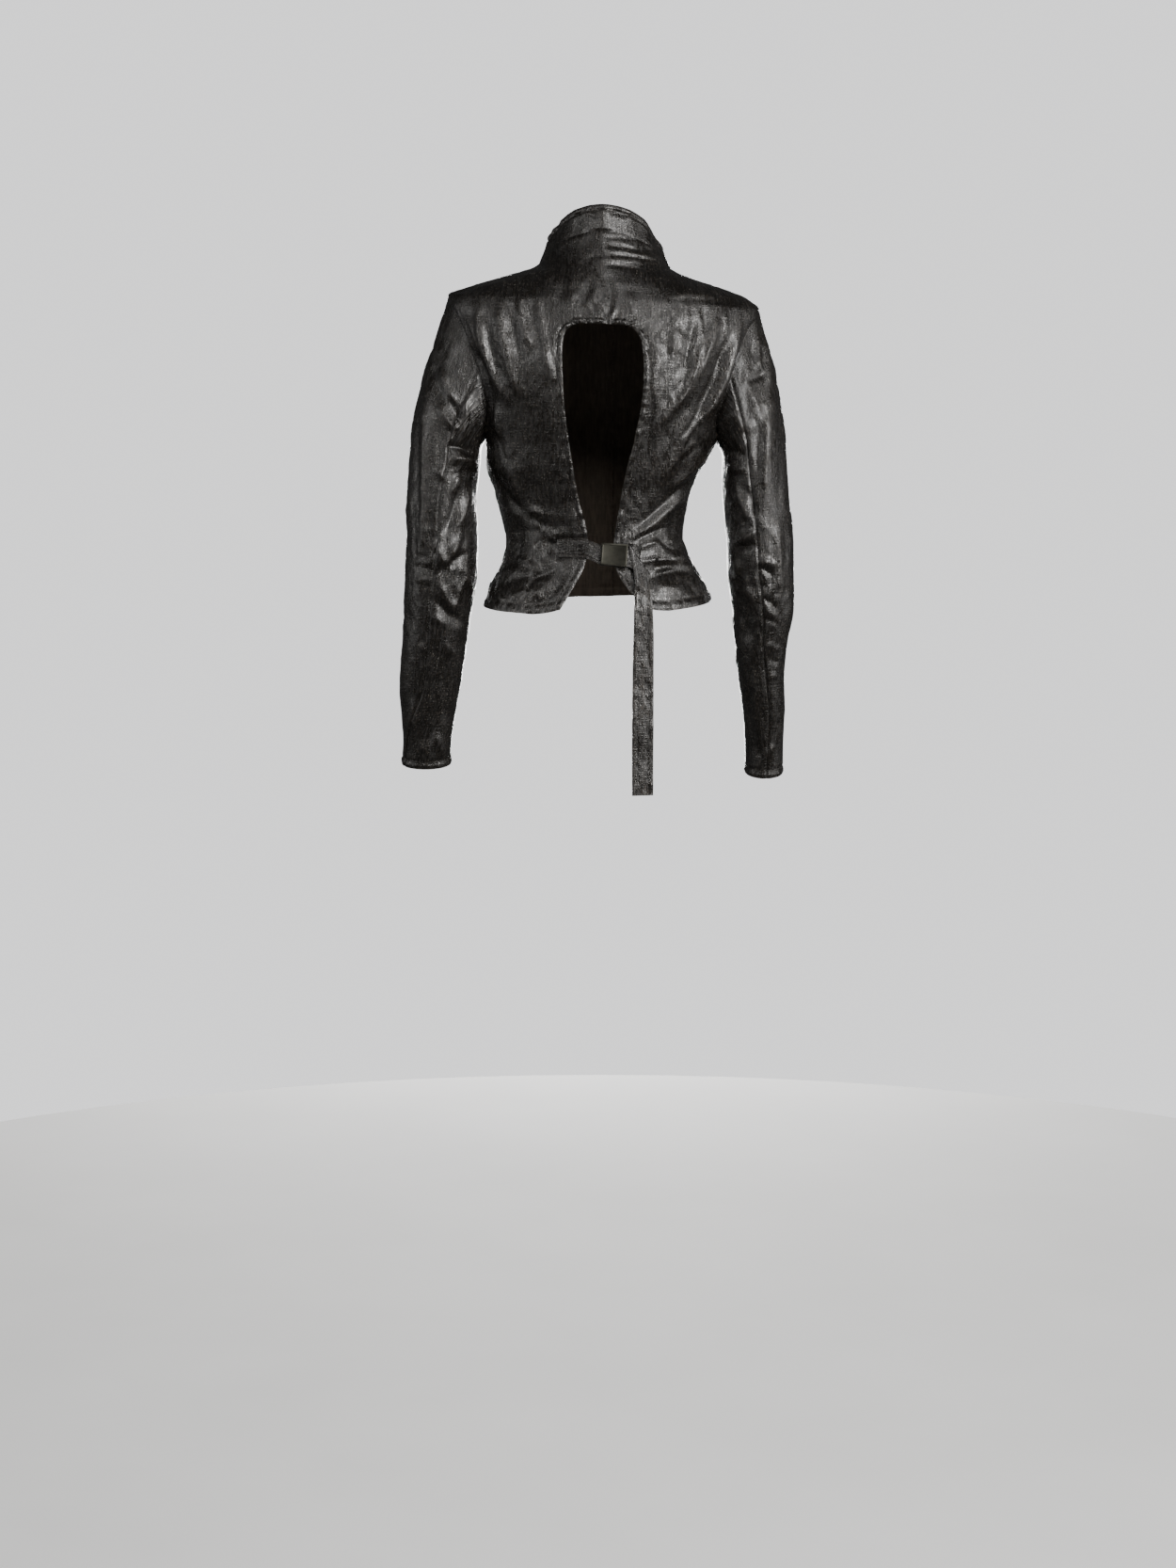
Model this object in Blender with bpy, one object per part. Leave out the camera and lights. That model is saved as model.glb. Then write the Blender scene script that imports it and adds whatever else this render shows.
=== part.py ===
"""Cropped open-back blazer in coated linen, worn shape, as closed solids.

Frame: +Z up, the fronts face -Y, the back faces +Y, the wearer's left is +X.
The origin is between the shoulders, level with the base of the neck.
Lengths here are millimetres and angles are degrees until a mesh is written.
"""

import bisect
import math
from collections import namedtuple

import bmesh
import bpy
from mathutils import Vector

MM = 0.001

# Cloth and seams
WALL = 1.6
SEAM_GAP = 0.34

# Body of the garment
SHOULDER_TIP = -47.0
UNDERARM = -224.0
SIDE_HEM = -434.0
BACK_HEM_DIP = 7.0
NECK_POINT = -2.0
BACK_NECK_RISE = 43.0
FRONT_NECK_DROP = 56.0
SHOULDER_TILT = 0.045
HEM_TILT = -0.025
BACK_ARMHOLE_TURN = 27.0
FRONT_ARMHOLE_TURN = 31.0
FRONT_OVERLAP = 12.0
FRONT_EDGE_TURN = 188.3
OVERLAP_TUCK = WALL + 0.6

# Rows and columns of the panels
SIDE_ROWS = 12
ARMHOLE_ROWS = 12
CUTOUT_TOP_ROW = SIDE_ROWS + 6
ROWS = SIDE_ROWS + ARMHOLE_ROWS
CENTRE_COLUMNS = 4
NECK_COLUMNS = 6
COLUMNS = 14
CAP_RINGS = 8
ARM_RINGS = 14
UNDER_SEAM = 240

# Sleeve heads: how far the cap stands up and out, and how the underarm clears the body
CROWN_OUT = 2.7
CROWN_UP = 0.75
UNDERARM_LIFT = 0.85
UNDERARM_SPREAD = 5.0
CUFF_DROP = 5.0

# Belt and buckle
STRAP_THICK = 1.5
SEAT_GAP = 0.7
STRAP_SEAT = SEAT_GAP + STRAP_THICK / 2
STUB_LIFT = 5.2
CREASE_TOP = (-29.5, -357.5)
CREASE_LOW = (-55.0, -396.0)
CREASE_RADIUS = 1.25
CREASE_STEPS = 4
TAIL_FALL = -436.0
TAB_FROM = -40.0
TAB_TO = -4.0
TAB_STATIONS = 5
TAB_WIDTH = 25.0
TAB_THICK = 1.2
TAB_SLOPE = 0.07
BUCKLE_WIDE = 34.0
BUCKLE_TALL = 29.0
BUCKLE_PLATE = 1.0
BUCKLE_CHANNEL = 2.6
BUCKLE_COVER = 1.6
BUCKLE_X = -11.0
BUCKLE_Z = -369.0
BUCKLE_ROLL = 4.0
BUCKLE_SEAT = 2.7
BUCKLE_LIP = 1.0
BUCKLE_BEVEL = 0.4

# Front closure
BUTTONS = 5
BUTTON_RADIUS = 9.0
BUTTON_THICK = 3.0
BUTTON_BEVEL = 0.6
BUTTON_SIDES = 28
BUTTON_SHANK = 0.64
TOP_BUTTON = -84.0
BUTTON_SPACING = 76.0

# Looks of the plain solids
CLOTH_COLOUR = (0.012, 0.010, 0.009)
CLOTH_ROUGHNESS = 0.35
METAL_COLOUR = (0.20, 0.19, 0.18)
METAL_ROUGHNESS = 0.4
BUTTON_COLOUR = (0.02, 0.018, 0.016)
BUTTON_ROUGHNESS = 0.3

Ring = namedtuple("Ring", "height left right front back square")
BODY = [
    Ring(-445, 162, 142, 102, 96, 2.3),
    Ring(-415, 151, 132, 99, 88, 2.3),
    Ring(-395, 142, 119, 95, 80, 2.3),
    Ring(-375, 133, 109, 92, 75, 2.25),
    Ring(-350, 129, 101.5, 91, 71, 2.2),
    Ring(-320, 135, 105.5, 94, 73, 2.2),
    Ring(-290, 143, 112, 101, 78, 2.2),
    Ring(-260, 153, 124, 111, 85, 2.25),
    Ring(-225, 155, 143, 122, 92, 2.3),
    Ring(-190, 164, 153, 125, 99, 2.35),
    Ring(-150, 178, 170, 117, 103, 2.35),
    Ring(-115, 189, 184, 103, 103, 2.3),
    Ring(-80, 197, 194, 87, 98, 2.25),
    Ring(-47, 201.5, 199, 72, 90, 2.15),
    Ring(-39, 184, 190, 69, 87, 2.1),
    Ring(-32, 167, 178, 66, 84, 2.1),
    Ring(-24, 142, 153, 62, 81, 2.1),
    Ring(-18, 124, 131, 59, 78, 2.1),
    Ring(-12, 105, 112, 57, 75, 2.1),
    Ring(-6, 90, 94, 55, 72, 2.1),
    Ring(0, 83, 83, 53, 69, 2.1),
    Ring(10, 77, 76, 50, 65, 2.1),
    Ring(25, 71, 70, 45, 60, 2.1),
    Ring(45, 62, 62, 40, 55, 2.1),
    Ring(85, 60, 60, 38, 50, 2.1),
]

# The open back: the edge's distance from the centre on each side
Cutout = namedtuple("Cutout", "height left right")
CUTOUT = [
    Cutout(-436, 58, 57),
    Cutout(-431, 54, 51),
    Cutout(-411, 42.5, 33),
    Cutout(-395, 33, 21.5),
    Cutout(-380, 25.5, 14.5),
    Cutout(-363, 22.5, 13.5),
    Cutout(-349, 22, 14.5),
    Cutout(-326, 25.8, 19),
    Cutout(-302, 33, 24.5),
    Cutout(-262, 40, 32.5),
    Cutout(-212, 48, 41.5),
    Cutout(-180, 52, 48),
    Cutout(-145, 54, 50.5),
    Cutout(-102, 54, 47.8),
    Cutout(-85, 49, 41),
    Cutout(-75.5, 38, 31),
]
# The last rows of the panel beside it close up where the edge turns into its top
CUTOUT_STRAIGHT_TOP = -96.0
CUTOUT_SHOULDER_ROWS = [-86.0, -79.0, -75.5]

# Sleeves: seam is the back seam's place round the arm, 0 outside, 90 behind
Arm = namedtuple("Arm", "height out back wide deep seam")
LEFT_ARM = [
    Arm(-250, 208, 2, 46, 56, 97),
    Arm(-300, 213, 4, 45.5, 53, 90),
    Arm(-350, 212, 6, 46.5, 50, 84),
    Arm(-400, 215, 5, 46.5, 47, 80),
    Arm(-450, 219, 0, 43.5, 45, 78),
    Arm(-500, 225, -8, 42, 42, 80),
    Arm(-550, 231, -18, 40, 38, 78),
    Arm(-590, 234, -27, 35, 35, 56),
    Arm(-625, 236, -34, 32, 33, 34),
    Arm(-652, 237.5, -39, 33, 32, 30),
]
RIGHT_ARM = [
    Arm(-250, 195, 2, 41.5, 56, 107),
    Arm(-300, 197, 4, 43, 53, 100),
    Arm(-350, 202, 6, 43, 50, 98),
    Arm(-400, 204, 5, 42.5, 47, 96),
    Arm(-450, 207.5, 0, 39.5, 44, 93),
    Arm(-485, 206, -6, 35, 42, 90),
    Arm(-526, 206, -14, 31, 40, 82),
    Arm(-579, 210.5, -25, 28, 37, 78),
    Arm(-625, 212, -35, 25.5, 35, 82),
    Arm(-664, 212.5, -40, 25.5, 34, 86),
]

# Stand collar: its rise from the neckline and its lean away from the neck
Stand = namedtuple("Stand", "turn rise left right")
COLLAR = [
    Stand(0, 34, -4, -4),
    Stand(34, 34, -6, -6),
    Stand(60, 34, -10, -10),
    Stand(90, 37, -13, -16),
    Stand(115, 41, -4, -16),
    Stand(140, 45, 4, -5),
    Stand(165, 47, 9, 5),
    Stand(186, 46, 10, 8),
]
COLLAR_END = 176.0
COLLAR_RINGS = 5

# The largest folds, seen from behind or from the front: a positive height is a ridge
Fold = namedtuple("Fold", "x z to_x to_z wide high")
BACK_FOLDS = [
    Fold(160, -58, 128, -160, 14, 4.0),
    Fold(168, -112, 148, -200, 16, -4.0),
    Fold(146, -72, 122, -150, 13, -3.0),
    Fold(132, -56, 103, -165, 15, 3.0),
    Fold(108, -50, 92, -105, 14, 2.5),
    Fold(-146, -68, -74, -195, 16, 4.0),
    Fold(-156, -92, -112, -195, 14, -3.5),
    Fold(-168, -80, -117, -208, 15, 3.5),
    Fold(-110, -75, -72, -230, 16, -2.5),
    Fold(-108, -205, -66, -276, 16, 2.5),
    Fold(-130, -236, -82, -284, 14, 3.0),
    Fold(-113, -268, -58, -318, 13, -3.0),
    Fold(-100, -296, -68, -322, 12, 3.5),
    Fold(-84, -365, -104, -362, 11, -3.0),
    Fold(-84, -386, -118, -392, 11, 3.5),
    Fold(64, -330, 105, -308, 12, 3.0),
    Fold(78, -390, 136, -405, 12, -3.0),
]
FRONT_FOLDS = [
    Fold(165, -80, 95, -190, 14, 3.5),
    Fold(150, -130, 80, -230, 13, -3.5),
    Fold(-165, -80, -95, -190, 14, 3.5),
    Fold(-150, -130, -80, -230, 13, -3.5),
    Fold(105, -330, 30, -352, 12, -3.0),
    Fold(-90, -345, -25, -360, 12, -3.0),
    Fold(115, -372, 40, -385, 12, 3.0),
    Fold(-100, -375, -35, -390, 12, 3.0),
]

# The largest folds of a sleeve: turn is round the arm as for its seam
Crease = namedtuple("Crease", "turn z to_turn to_z wide high")
LEFT_CREASES = [
    Crease(20, -120, 100, -215, 15, -3.5),
    Crease(60, -150, 130, -250, 14, 3.5),
    Crease(95, -330, 30, -372, 12, 3.0),
    Crease(120, -372, 40, -415, 12, -4.0),
    Crease(100, -425, 35, -462, 12, 3.5),
    Crease(300, -350, 240, -390, 13, -4.0),
    Crease(310, -400, 230, -430, 12, 3.0),
]
RIGHT_CREASES = [
    Crease(15, -115, 95, -205, 15, -3.5),
    Crease(55, -150, 125, -245, 14, 3.5),
    Crease(100, -350, 30, -385, 12, 3.5),
    Crease(110, -392, 45, -432, 13, -2.8),
    Crease(95, -455, 30, -490, 12, 2.8),
    Crease(300, -355, 240, -392, 14, -2.8),
    Crease(310, -405, 230, -436, 13, 2.6),
]

# The strap's two edges as seen from behind, and its lift from the cloth
Strap = namedtuple("Strap", "top_x top_z low_x low_z lift")
STRAP = [
    Strap(61, -347, 61, -371, STRAP_SEAT),
    Strap(48, -347, 48, -371.5, STRAP_SEAT),
    Strap(35, -347, 35, -372, STRAP_SEAT),
    Strap(24, -347.5, 24, -373, STRAP_SEAT + 0.3),
    Strap(14, -352, 14, -377, 3.6),
    Strap(6, -355.3, 6, -380.5, STUB_LIFT),
    Strap(-8, -356.2, -8, -381.4, STUB_LIFT),
    Strap(-20, -357, -20, -382.2, STUB_LIFT),
    Strap(-27, -357.3, -31, -385, STUB_LIFT),
]
# Past the slanting crease it lies over itself, then hangs as a straight tail
TAIL = [
    Strap(-33, -371, -56.5, -402, STUB_LIFT + 2 * CREASE_RADIUS),
    Strap(-36.5, -388, -58.5, -412, 7.4),
    Strap(-38, -404, -60, -424, 6.2),
    Strap(-37.3, -434, -60.8, -440, 4.9),
    Strap(-36.5, -462, -62, -465, 4.4),
    Strap(-35.5, -516, -62.3, -517, 4.4),
    Strap(-35, -570, -62.3, -570, 4.4),
    Strap(-35, -625, -62.2, -625, 4.4),
    Strap(-35, -677, -62, -677, 4.4),
]


def clear_scene():
    for obj in list(bpy.data.objects):
        bpy.data.objects.remove(obj, do_unlink=True)


def track(keys, values, at):
    """A smooth curve through a table's values, its keys rising."""
    last = len(keys) - 1
    at = min(max(at, keys[0]), keys[last])
    i = min(max(bisect.bisect_right(keys, at) - 1, 0), last - 1)

    def slope(k):
        low, high = max(k - 1, 0), min(k + 1, last)
        return (values[high] - values[low]) / (keys[high] - keys[low])

    span = keys[i + 1] - keys[i]
    t = (at - keys[i]) / span
    return (
        values[i] * (1 + 2 * t) * (1 - t) ** 2
        + values[i + 1] * t * t * (3 - 2 * t)
        + slope(i) * span * t * (1 - t) ** 2
        + slope(i + 1) * span * t * t * (t - 1)
    )


def tracks(table):
    """One smooth curve for each named column of a table, over its first column."""
    rows = sorted(table)
    columns = [[row[k] for row in rows] for k in range(len(rows[0]))]

    def read(at):
        return type(rows[0])(at, *(track(columns[0], column, at) for column in columns[1:]))

    return read


body_ring = tracks(BODY)
cutout_edge = tracks(CUTOUT)
collar_stand = tracks(COLLAR)


def smooth_step(t):
    t = min(max(t, 0.0), 1.0)
    return t * t * (3 - 2 * t)


def mix(a, b, t):
    return a + (b - a) * t


def spaced(first, last, count):
    return [mix(first, last, k / count) for k in range(count + 1)]


def fold_height(folds, a, z, across=1.0):
    """How far soft folds lift or sink the cloth at a place on their map."""
    total = 0.0
    for fold in folds:
        start = (fold[0] * across, fold[1])
        run = ((fold[2] - fold[0]) * across, fold[3] - fold[1])
        length = math.hypot(*run)
        offset = (a * across - start[0], z - start[1])
        along = (offset[0] * run[0] + offset[1] * run[1]) / length**2
        aside = (offset[0] * run[1] - offset[1] * run[0]) / length
        fade = smooth_step((along + 0.15) / 0.4) * smooth_step((1.15 - along) / 0.4)
        total += fold.high * fade * math.exp(-((aside / fold.wide) ** 2))
    return total


def tilt(height):
    """The shoulders slope one way and the hem the other, so the garment hangs a little askew."""
    return mix(HEM_TILT, SHOULDER_TILT, smooth_step((height - SIDE_HEM) / (SHOULDER_TIP - SIDE_HEM)))


def bare_body(turn, height):
    """The garment's outer form: turn 0 behind, 90 at the left side, 180 in front."""
    ring = body_ring(height)
    power = 2 / ring.square
    across = math.sin(math.radians(turn))
    along = math.cos(math.radians(turn))
    x = math.copysign((ring.left if across >= 0 else ring.right) * abs(across) ** power, across)
    y = math.copysign((ring.back if along >= 0 else ring.front) * abs(along) ** power, along)
    return Vector((x, y, height + tilt(height) * x))


def normal_of(surface, a, b, step_a=0.4, step_b=1.0):
    """The outward direction of a surface whose first value turns from +Y to +X."""
    along_a = surface(a + step_a, b) - surface(a - step_a, b)
    along_b = surface(a, b + step_b) - surface(a, b - step_b)
    return along_b.cross(along_a).normalized()


def body(turn, height):
    """A point of the folded outer form and the direction out of it."""
    point = bare_body(turn, height)
    out = normal_of(bare_body, turn, height)
    front = smooth_step((abs((turn + 180) % 360 - 180) - 80) / 20)
    lift = mix(fold_height(BACK_FOLDS, point.x, point.z), fold_height(FRONT_FOLDS, point.x, point.z), front)
    return point + out * lift, out


def turn_at(height, x, front=False):
    """The turn at which the form is this far from the centre."""
    ring = body_ring(height)
    reach = min(abs(x) / (ring.left if x >= 0 else ring.right), 1.0)
    turn = math.copysign(math.degrees(math.asin(reach ** (ring.square / 2))), x)
    return 180 - turn if front else turn


def armhole(turn):
    """The armhole's seam: 0 at the shoulder, 90 behind, 180 at the underarm, 270 in front."""
    middle = (SHOULDER_TIP + UNDERARM) / 2
    reach = (SHOULDER_TIP - UNDERARM) / 2
    round_arm = math.radians(turn)
    deep = BACK_ARMHOLE_TURN if math.sin(round_arm) > 0 else FRONT_ARMHOLE_TURN
    return (90 - deep * math.sin(round_arm), middle + reach * math.cos(round_arm))


def neckline(turn):
    """The collar's seam: 0 at the centre back, 90 at the shoulder, 180 in front."""
    if turn <= 90:
        return (turn, NECK_POINT + BACK_NECK_RISE * max(math.cos(math.radians(turn)), 0) ** 0.85)
    forward = math.radians(turn - 90)
    height = NECK_POINT - FRONT_NECK_DROP * math.sin(forward)
    return (turn_at(height, body_ring(NECK_POINT).left * math.cos(forward), front=True), height)


def neck_turns(front):
    """Where the neckline's columns stand, from the centre to the shoulder, closest at the shoulder."""
    if not front:
        return [mix(90, 0, t**1.4) for t in spaced(1, 0, NECK_COLUMNS)]
    return [FRONT_EDGE_TURN] + [mix(90, COLLAR_END, t**1.2) for t in spaced(1, 0, NECK_COLUMNS - 1)]


def top_edge(front):
    """Neckline and shoulder seam, from the centre to the shoulder's tip."""
    neck = [neckline(turn) for turn in neck_turns(front)]
    shoulder = [mix(NECK_POINT, SHOULDER_TIP, t**1.25) for t in spaced(0, 1, COLUMNS - NECK_COLUMNS)]
    return neck + [(90, height) for height in shoulder[1:]]


def outer_edge(front):
    """Side seam and armhole, from the hem to the shoulder's tip."""
    side = [(90, h) for h in spaced(SIDE_HEM, UNDERARM, SIDE_ROWS)]
    last = 360 if front else 0
    return side + [armhole(turn) for turn in spaced(180, last, ARMHOLE_ROWS)[1:]]


def blend(a, b, t):
    return (mix(a[0], b[0], t), mix(a[1], b[1], t))


def back_half(side):
    """The map of one half of the back: side is 1 on the left and -1 on the right."""
    top = top_edge(front=False)
    outer = outer_edge(front=False)
    corner_height = CUTOUT_SHOULDER_ROWS[-1]
    straight_rows = CUTOUT_TOP_ROW - len(CUTOUT_SHOULDER_ROWS)
    edge_heights = spaced(CUTOUT[0].height, CUTOUT_STRAIGHT_TOP, straight_rows) + CUTOUT_SHOULDER_ROWS

    def edge(height):
        cut = cutout_edge(height)
        return (turn_at(height, cut.left if side > 0 else cut.right), height)

    corner = edge(corner_height)
    rows = []
    for k in range(ROWS + 1):
        upper = max(k - CUTOUT_TOP_ROW, 0) / (ROWS - CUTOUT_TOP_ROW)
        inner = edge(edge_heights[k]) if k <= CUTOUT_TOP_ROW else blend(corner, top[CENTRE_COLUMNS], upper)
        middle = blend((0, corner_height), top[0], upper)
        row = []
        for j in range(COLUMNS + 1):
            if j < CENTRE_COLUMNS:
                t = j / CENTRE_COLUMNS
                place, bare_top = blend(middle, inner, t), blend(top[0], top[CENTRE_COLUMNS], t)
            else:
                t = (j - CENTRE_COLUMNS) / (COLUMNS - CENTRE_COLUMNS)
                place, bare_top = blend(inner, outer[k], t), blend(top[CENTRE_COLUMNS], top[COLUMNS], t)
                dip = BACK_HEM_DIP * smooth_step(t * 6) * (1 - t) * max(1 - k / 4, 0)
                place = (place[0], place[1] - dip)
            pull = upper * upper
            row.append((
                place[0] + (top[j][0] - bare_top[0]) * pull,
                place[1] + (top[j][1] - bare_top[1]) * pull,
            ))
        rows.append(row)
    return rows


def front_half():
    """The map of a front, its edge lapping past the centre."""
    top = top_edge(front=True)
    outer = outer_edge(front=True)
    rows = []
    for k in range(ROWS + 1):
        t = k / ROWS
        height = mix(SIDE_HEM, top[0][1], t)
        inner = (turn_at(height, -FRONT_OVERLAP, front=True), height)
        pull = (max(k - SIDE_ROWS, 0) / ARMHOLE_ROWS) ** 2
        row = []
        for j in range(COLUMNS + 1):
            place, bare_top = blend(inner, outer[k], j / COLUMNS), blend(top[0], top[COLUMNS], j / COLUMNS)
            row.append((
                place[0] + (top[j][0] - bare_top[0]) * pull,
                place[1] + (top[j][1] - bare_top[1]) * pull,
            ))
        rows.append(row)
    return rows


def finish_mesh(name, build, colour, roughness, metallic=0.0):
    """A named object from a bmesh in millimetres, with its own material."""
    bmesh.ops.recalc_face_normals(build, faces=build.faces)
    bmesh.ops.scale(build, vec=(MM, MM, MM), verts=build.verts)
    mesh = bpy.data.meshes.new(name)
    build.to_mesh(mesh)
    build.free()
    obj = bpy.data.objects.new(name, mesh)
    bpy.context.scene.collection.objects.link(obj)
    material = bpy.data.materials.new(name + "_material")
    material.use_nodes = True
    shader = material.node_tree.nodes["Principled BSDF"]
    shader.inputs["Base Color"].default_value = (*colour, 1)
    shader.inputs["Roughness"].default_value = roughness
    shader.inputs["Metallic"].default_value = metallic
    mesh.materials.append(material)
    mesh.shade_smooth()
    mesh.set_sharp_from_angle(angle=math.radians(40))
    return obj


def wall_mesh(points, inward, quads):
    """A closed wall from a sheet of points: the outer skin, the inner skin and the rims."""
    build = bmesh.new()
    outer = {key: build.verts.new(point) for key, point in points.items()}
    inner = {key: build.verts.new(point + inward[key]) for key, point in points.items()}
    borders = {}
    for quad in quads:
        build.faces.new([outer[key] for key in quad])
        build.faces.new([inner[key] for key in reversed(quad)])
        for a, b in zip(quad, quad[1:] + quad[:1]):
            if (b, a) in borders:
                del borders[(b, a)]
            else:
                borders[(a, b)] = True
    for a, b in borders:
        build.faces.new([outer[b], outer[a], inner[a], inner[b]])
    return build


def finish_cloth(name, points, inward, quads):
    finish_mesh(name, wall_mesh(points, inward, quads), CLOTH_COLOUR, CLOTH_ROUGHNESS)


def pull_back(points, quads):
    """Draw a sheet's border in by half the seam gap, away from the cloth beside it."""
    borders = {}
    for quad in quads:
        for a, b in zip(quad, quad[1:] + quad[:1]):
            if (b, a) in borders:
                del borders[(b, a)]
            else:
                borders[(a, b)] = quad
    moves = {}
    for (a, b), quad in borders.items():
        along = (points[b] - points[a]).normalized()
        inward = sum((points[key] for key in quad), Vector()) / 4 - points[a]
        inward = (inward - along * inward.dot(along)).normalized()
        moves.setdefault(a, []).append(inward)
        moves.setdefault(b, []).append(inward)
    moved = dict(points)
    for key, (first, second) in moves.items():
        moved[key] = points[key] + (first + second) * SEAM_GAP / 2 / (1 + max(first.dot(second), -0.5))
    return moved


def grid_quads(rows, columns):
    return [
        ((i, j), (i, j + 1), (i + 1, j + 1), (i + 1, j))
        for i in range(rows)
        for j in range(columns)
    ]


def add_back():
    points, inward = {}, {}
    for side in (1, -1):
        for i, row in enumerate(back_half(side)):
            for j, (turn, height) in enumerate(row):
                if j < CENTRE_COLUMNS and i < CUTOUT_TOP_ROW:
                    continue
                point, out = body(side * turn, height)
                points[(i, side * j)] = point
                inward[(i, side * j)] = -out * WALL
    quads = [
        ((i, j), (i, j + 1), (i + 1, j + 1), (i + 1, j))
        for i in range(ROWS)
        for j in range(-COLUMNS, COLUMNS)
        if i >= CUTOUT_TOP_ROW or j >= CENTRE_COLUMNS or j < -CENTRE_COLUMNS
    ]
    finish_cloth("back", pull_back(points, quads), inward, quads)


def add_front(name, side, under):
    """A front: the under one is tucked in behind the other where they lap."""
    points, inward = {}, {}
    for i, row in enumerate(front_half()):
        for j, (turn, height) in enumerate(row):
            point, out = body(side * turn, height)
            if under:
                tuck = smooth_step((2.6 * FRONT_OVERLAP - side * point.x) / (1.2 * FRONT_OVERLAP))
                point = point - out * OVERLAP_TUCK * tuck
            points[(i, j)] = point
            inward[(i, j)] = -out * WALL
    quads = grid_quads(ROWS, COLUMNS)
    finish_cloth(name, pull_back(points, quads), inward, quads)


def collar_columns():
    """The collar's columns: those of the necklines it is sewn to, and one between each two."""
    half = neck_turns(front=True)[1:-1] + neck_turns(front=False)[::-1]
    turns = half + [-turn for turn in half[-2::-1]]
    seats = []
    for turn in turns:
        place = neckline(abs(turn))
        side = 1 if turn >= 0 else -1
        seats.append((turn, body(side * place[0], place[1])[0]))
    columns = [seats[0]]
    for (a, first), (b, second) in zip(seats, seats[1:]):
        columns += [((a + b) / 2, (first + second) / 2), (b, second)]
    return columns


def add_collar():
    """A stand collar round the neckline, open at the throat, in one piece."""
    points, inward = {}, {}
    columns = collar_columns()
    for j, (turn, base) in enumerate(columns):
        stand = collar_stand(abs(turn))
        out = Vector((base.x, base.y, 0)).normalized()
        for i in range(COLLAR_RINGS + 1):
            t = i / COLLAR_RINGS
            lean = (stand.left if turn > 0 else stand.right) * (1.3 * t - 0.3 * t * t)
            points[(i, j)] = base + out * lean + Vector((0, 0, SEAM_GAP + (stand.rise - SEAM_GAP) * t))
            inward[(i, j)] = -out * WALL
    quads = grid_quads(COLLAR_RINGS, len(columns) - 1)
    finish_cloth("collar", points, inward, quads)


def sleeve_grid(arm_table, side):
    """Rings of a sleeve from the armhole to the cuff, a column for each armhole point."""
    arm_at = tracks(arm_table)
    top_ring, cuff = arm_table[0].height, arm_table[-1].height
    creases = LEFT_CREASES if side > 0 else RIGHT_CREASES
    turns = spaced(0, 360, 2 * ARMHOLE_ROWS)

    def round_arm(turn, height):
        """Where an armhole column lies round the arm, between the two seams."""
        seam = arm_at(height).seam
        turn = turn % 360
        if 90 <= turn <= UNDER_SEAM:
            return mix(seam, UNDER_SEAM, (turn - 90) / (UNDER_SEAM - 90))
        ahead = (turn - UNDER_SEAM) % 360
        return mix(UNDER_SEAM, seam + 360, ahead / (450 - UNDER_SEAM))

    def ring(turn, height):
        arm = arm_at(height)
        angle = math.radians(round_arm(turn, height))
        drop = CUFF_DROP * math.sin(angle) * smooth_step((-550 - height) / 80)
        return Vector((
            side * (arm.out + arm.wide * math.cos(angle)),
            arm.back + arm.deep * math.sin(angle),
            height - drop,
        ))

    grid = []
    for i in range(CAP_RINGS + ARM_RINGS + 1):
        row = []
        for turn in turns[:-1]:
            if i <= CAP_RINGS:
                t = i / CAP_RINGS
                seam_turn, seam_height = armhole(turn)
                start, out = body(side * seam_turn, seam_height)
                below = smooth_step(0.4 - math.cos(math.radians(turn)))
                start += out * UNDERARM_LIFT * below
                end = ring(turn, top_ring)
                reach = (end - start).length
                crown = Vector((side * CROWN_OUT, 0, CROWN_UP)) * max(math.cos(math.radians(turn)), 0)
                second = mix(start, end, 0.33) + crown + out * UNDERARM_SPREAD * below
                third = end + Vector((0, 0, 0.34 * reach))
                point = (
                    start * (1 - t) ** 3 + second * 3 * t * (1 - t) ** 2
                    + third * 3 * t * t * (1 - t) + end * t**3
                )
            else:
                point = ring(turn, mix(top_ring, cuff, (i - CAP_RINGS) / ARM_RINGS))
            row.append(point)
        grid.append(row)
    count = len(turns) - 1
    rings = len(grid) - 1
    normals = []
    for i in range(rings + 1):
        row = []
        for j in range(count):
            down = grid[min(i + 1, rings)][j] - grid[max(i - 1, 0)][j]
            about = grid[i][(j + 1) % count] - grid[i][j - 1]
            row.append((down.cross(about) * side).normalized())
        normals.append(row)
    for i in range(1, rings + 1):
        for j in range(count):
            point = grid[i][j]
            place = round_arm(turns[j], point.z)
            lift = max(
                (fold_height(creases, place + whole, point.z, across=0.8) for whole in (0, 360, -360)),
                key=abs,
            )
            grid[i][j] = point + normals[i][j] * lift * smooth_step(i / 3)
    return grid, normals


def add_sleeve(name, side, arm_table):
    """A two-piece sleeve: the top sleeve and the under sleeve are separate walls."""
    grid, normals = sleeve_grid(arm_table, side)
    count = len(grid[0])
    rings = len(grid) - 1
    step = 360 // count
    back_seam, front_seam = 90 // step, UNDER_SEAM // step
    pieces = {
        "top": [k % count for k in range(front_seam, back_seam + count + 1)],
        "under": list(range(back_seam, front_seam + 1)),
    }
    for piece, columns in pieces.items():
        points, inward = {}, {}
        for i in range(rings + 1):
            for j, column in enumerate(columns):
                points[(i, j)] = grid[i][column]
                turn, height = armhole(column * step)
                _, body_out = body(side * turn, height)
                share = min(max(2 * body_out.dot(normals[0][column]), 0), 1) * max(1 - i / 4, 0)
                inward[(i, j)] = -mix(normals[i][column], body_out, share).normalized() * WALL
        quads = grid_quads(rings, len(columns) - 1)
        finish_cloth(f"{name}_{piece}", pull_back(points, quads), inward, quads)


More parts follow.
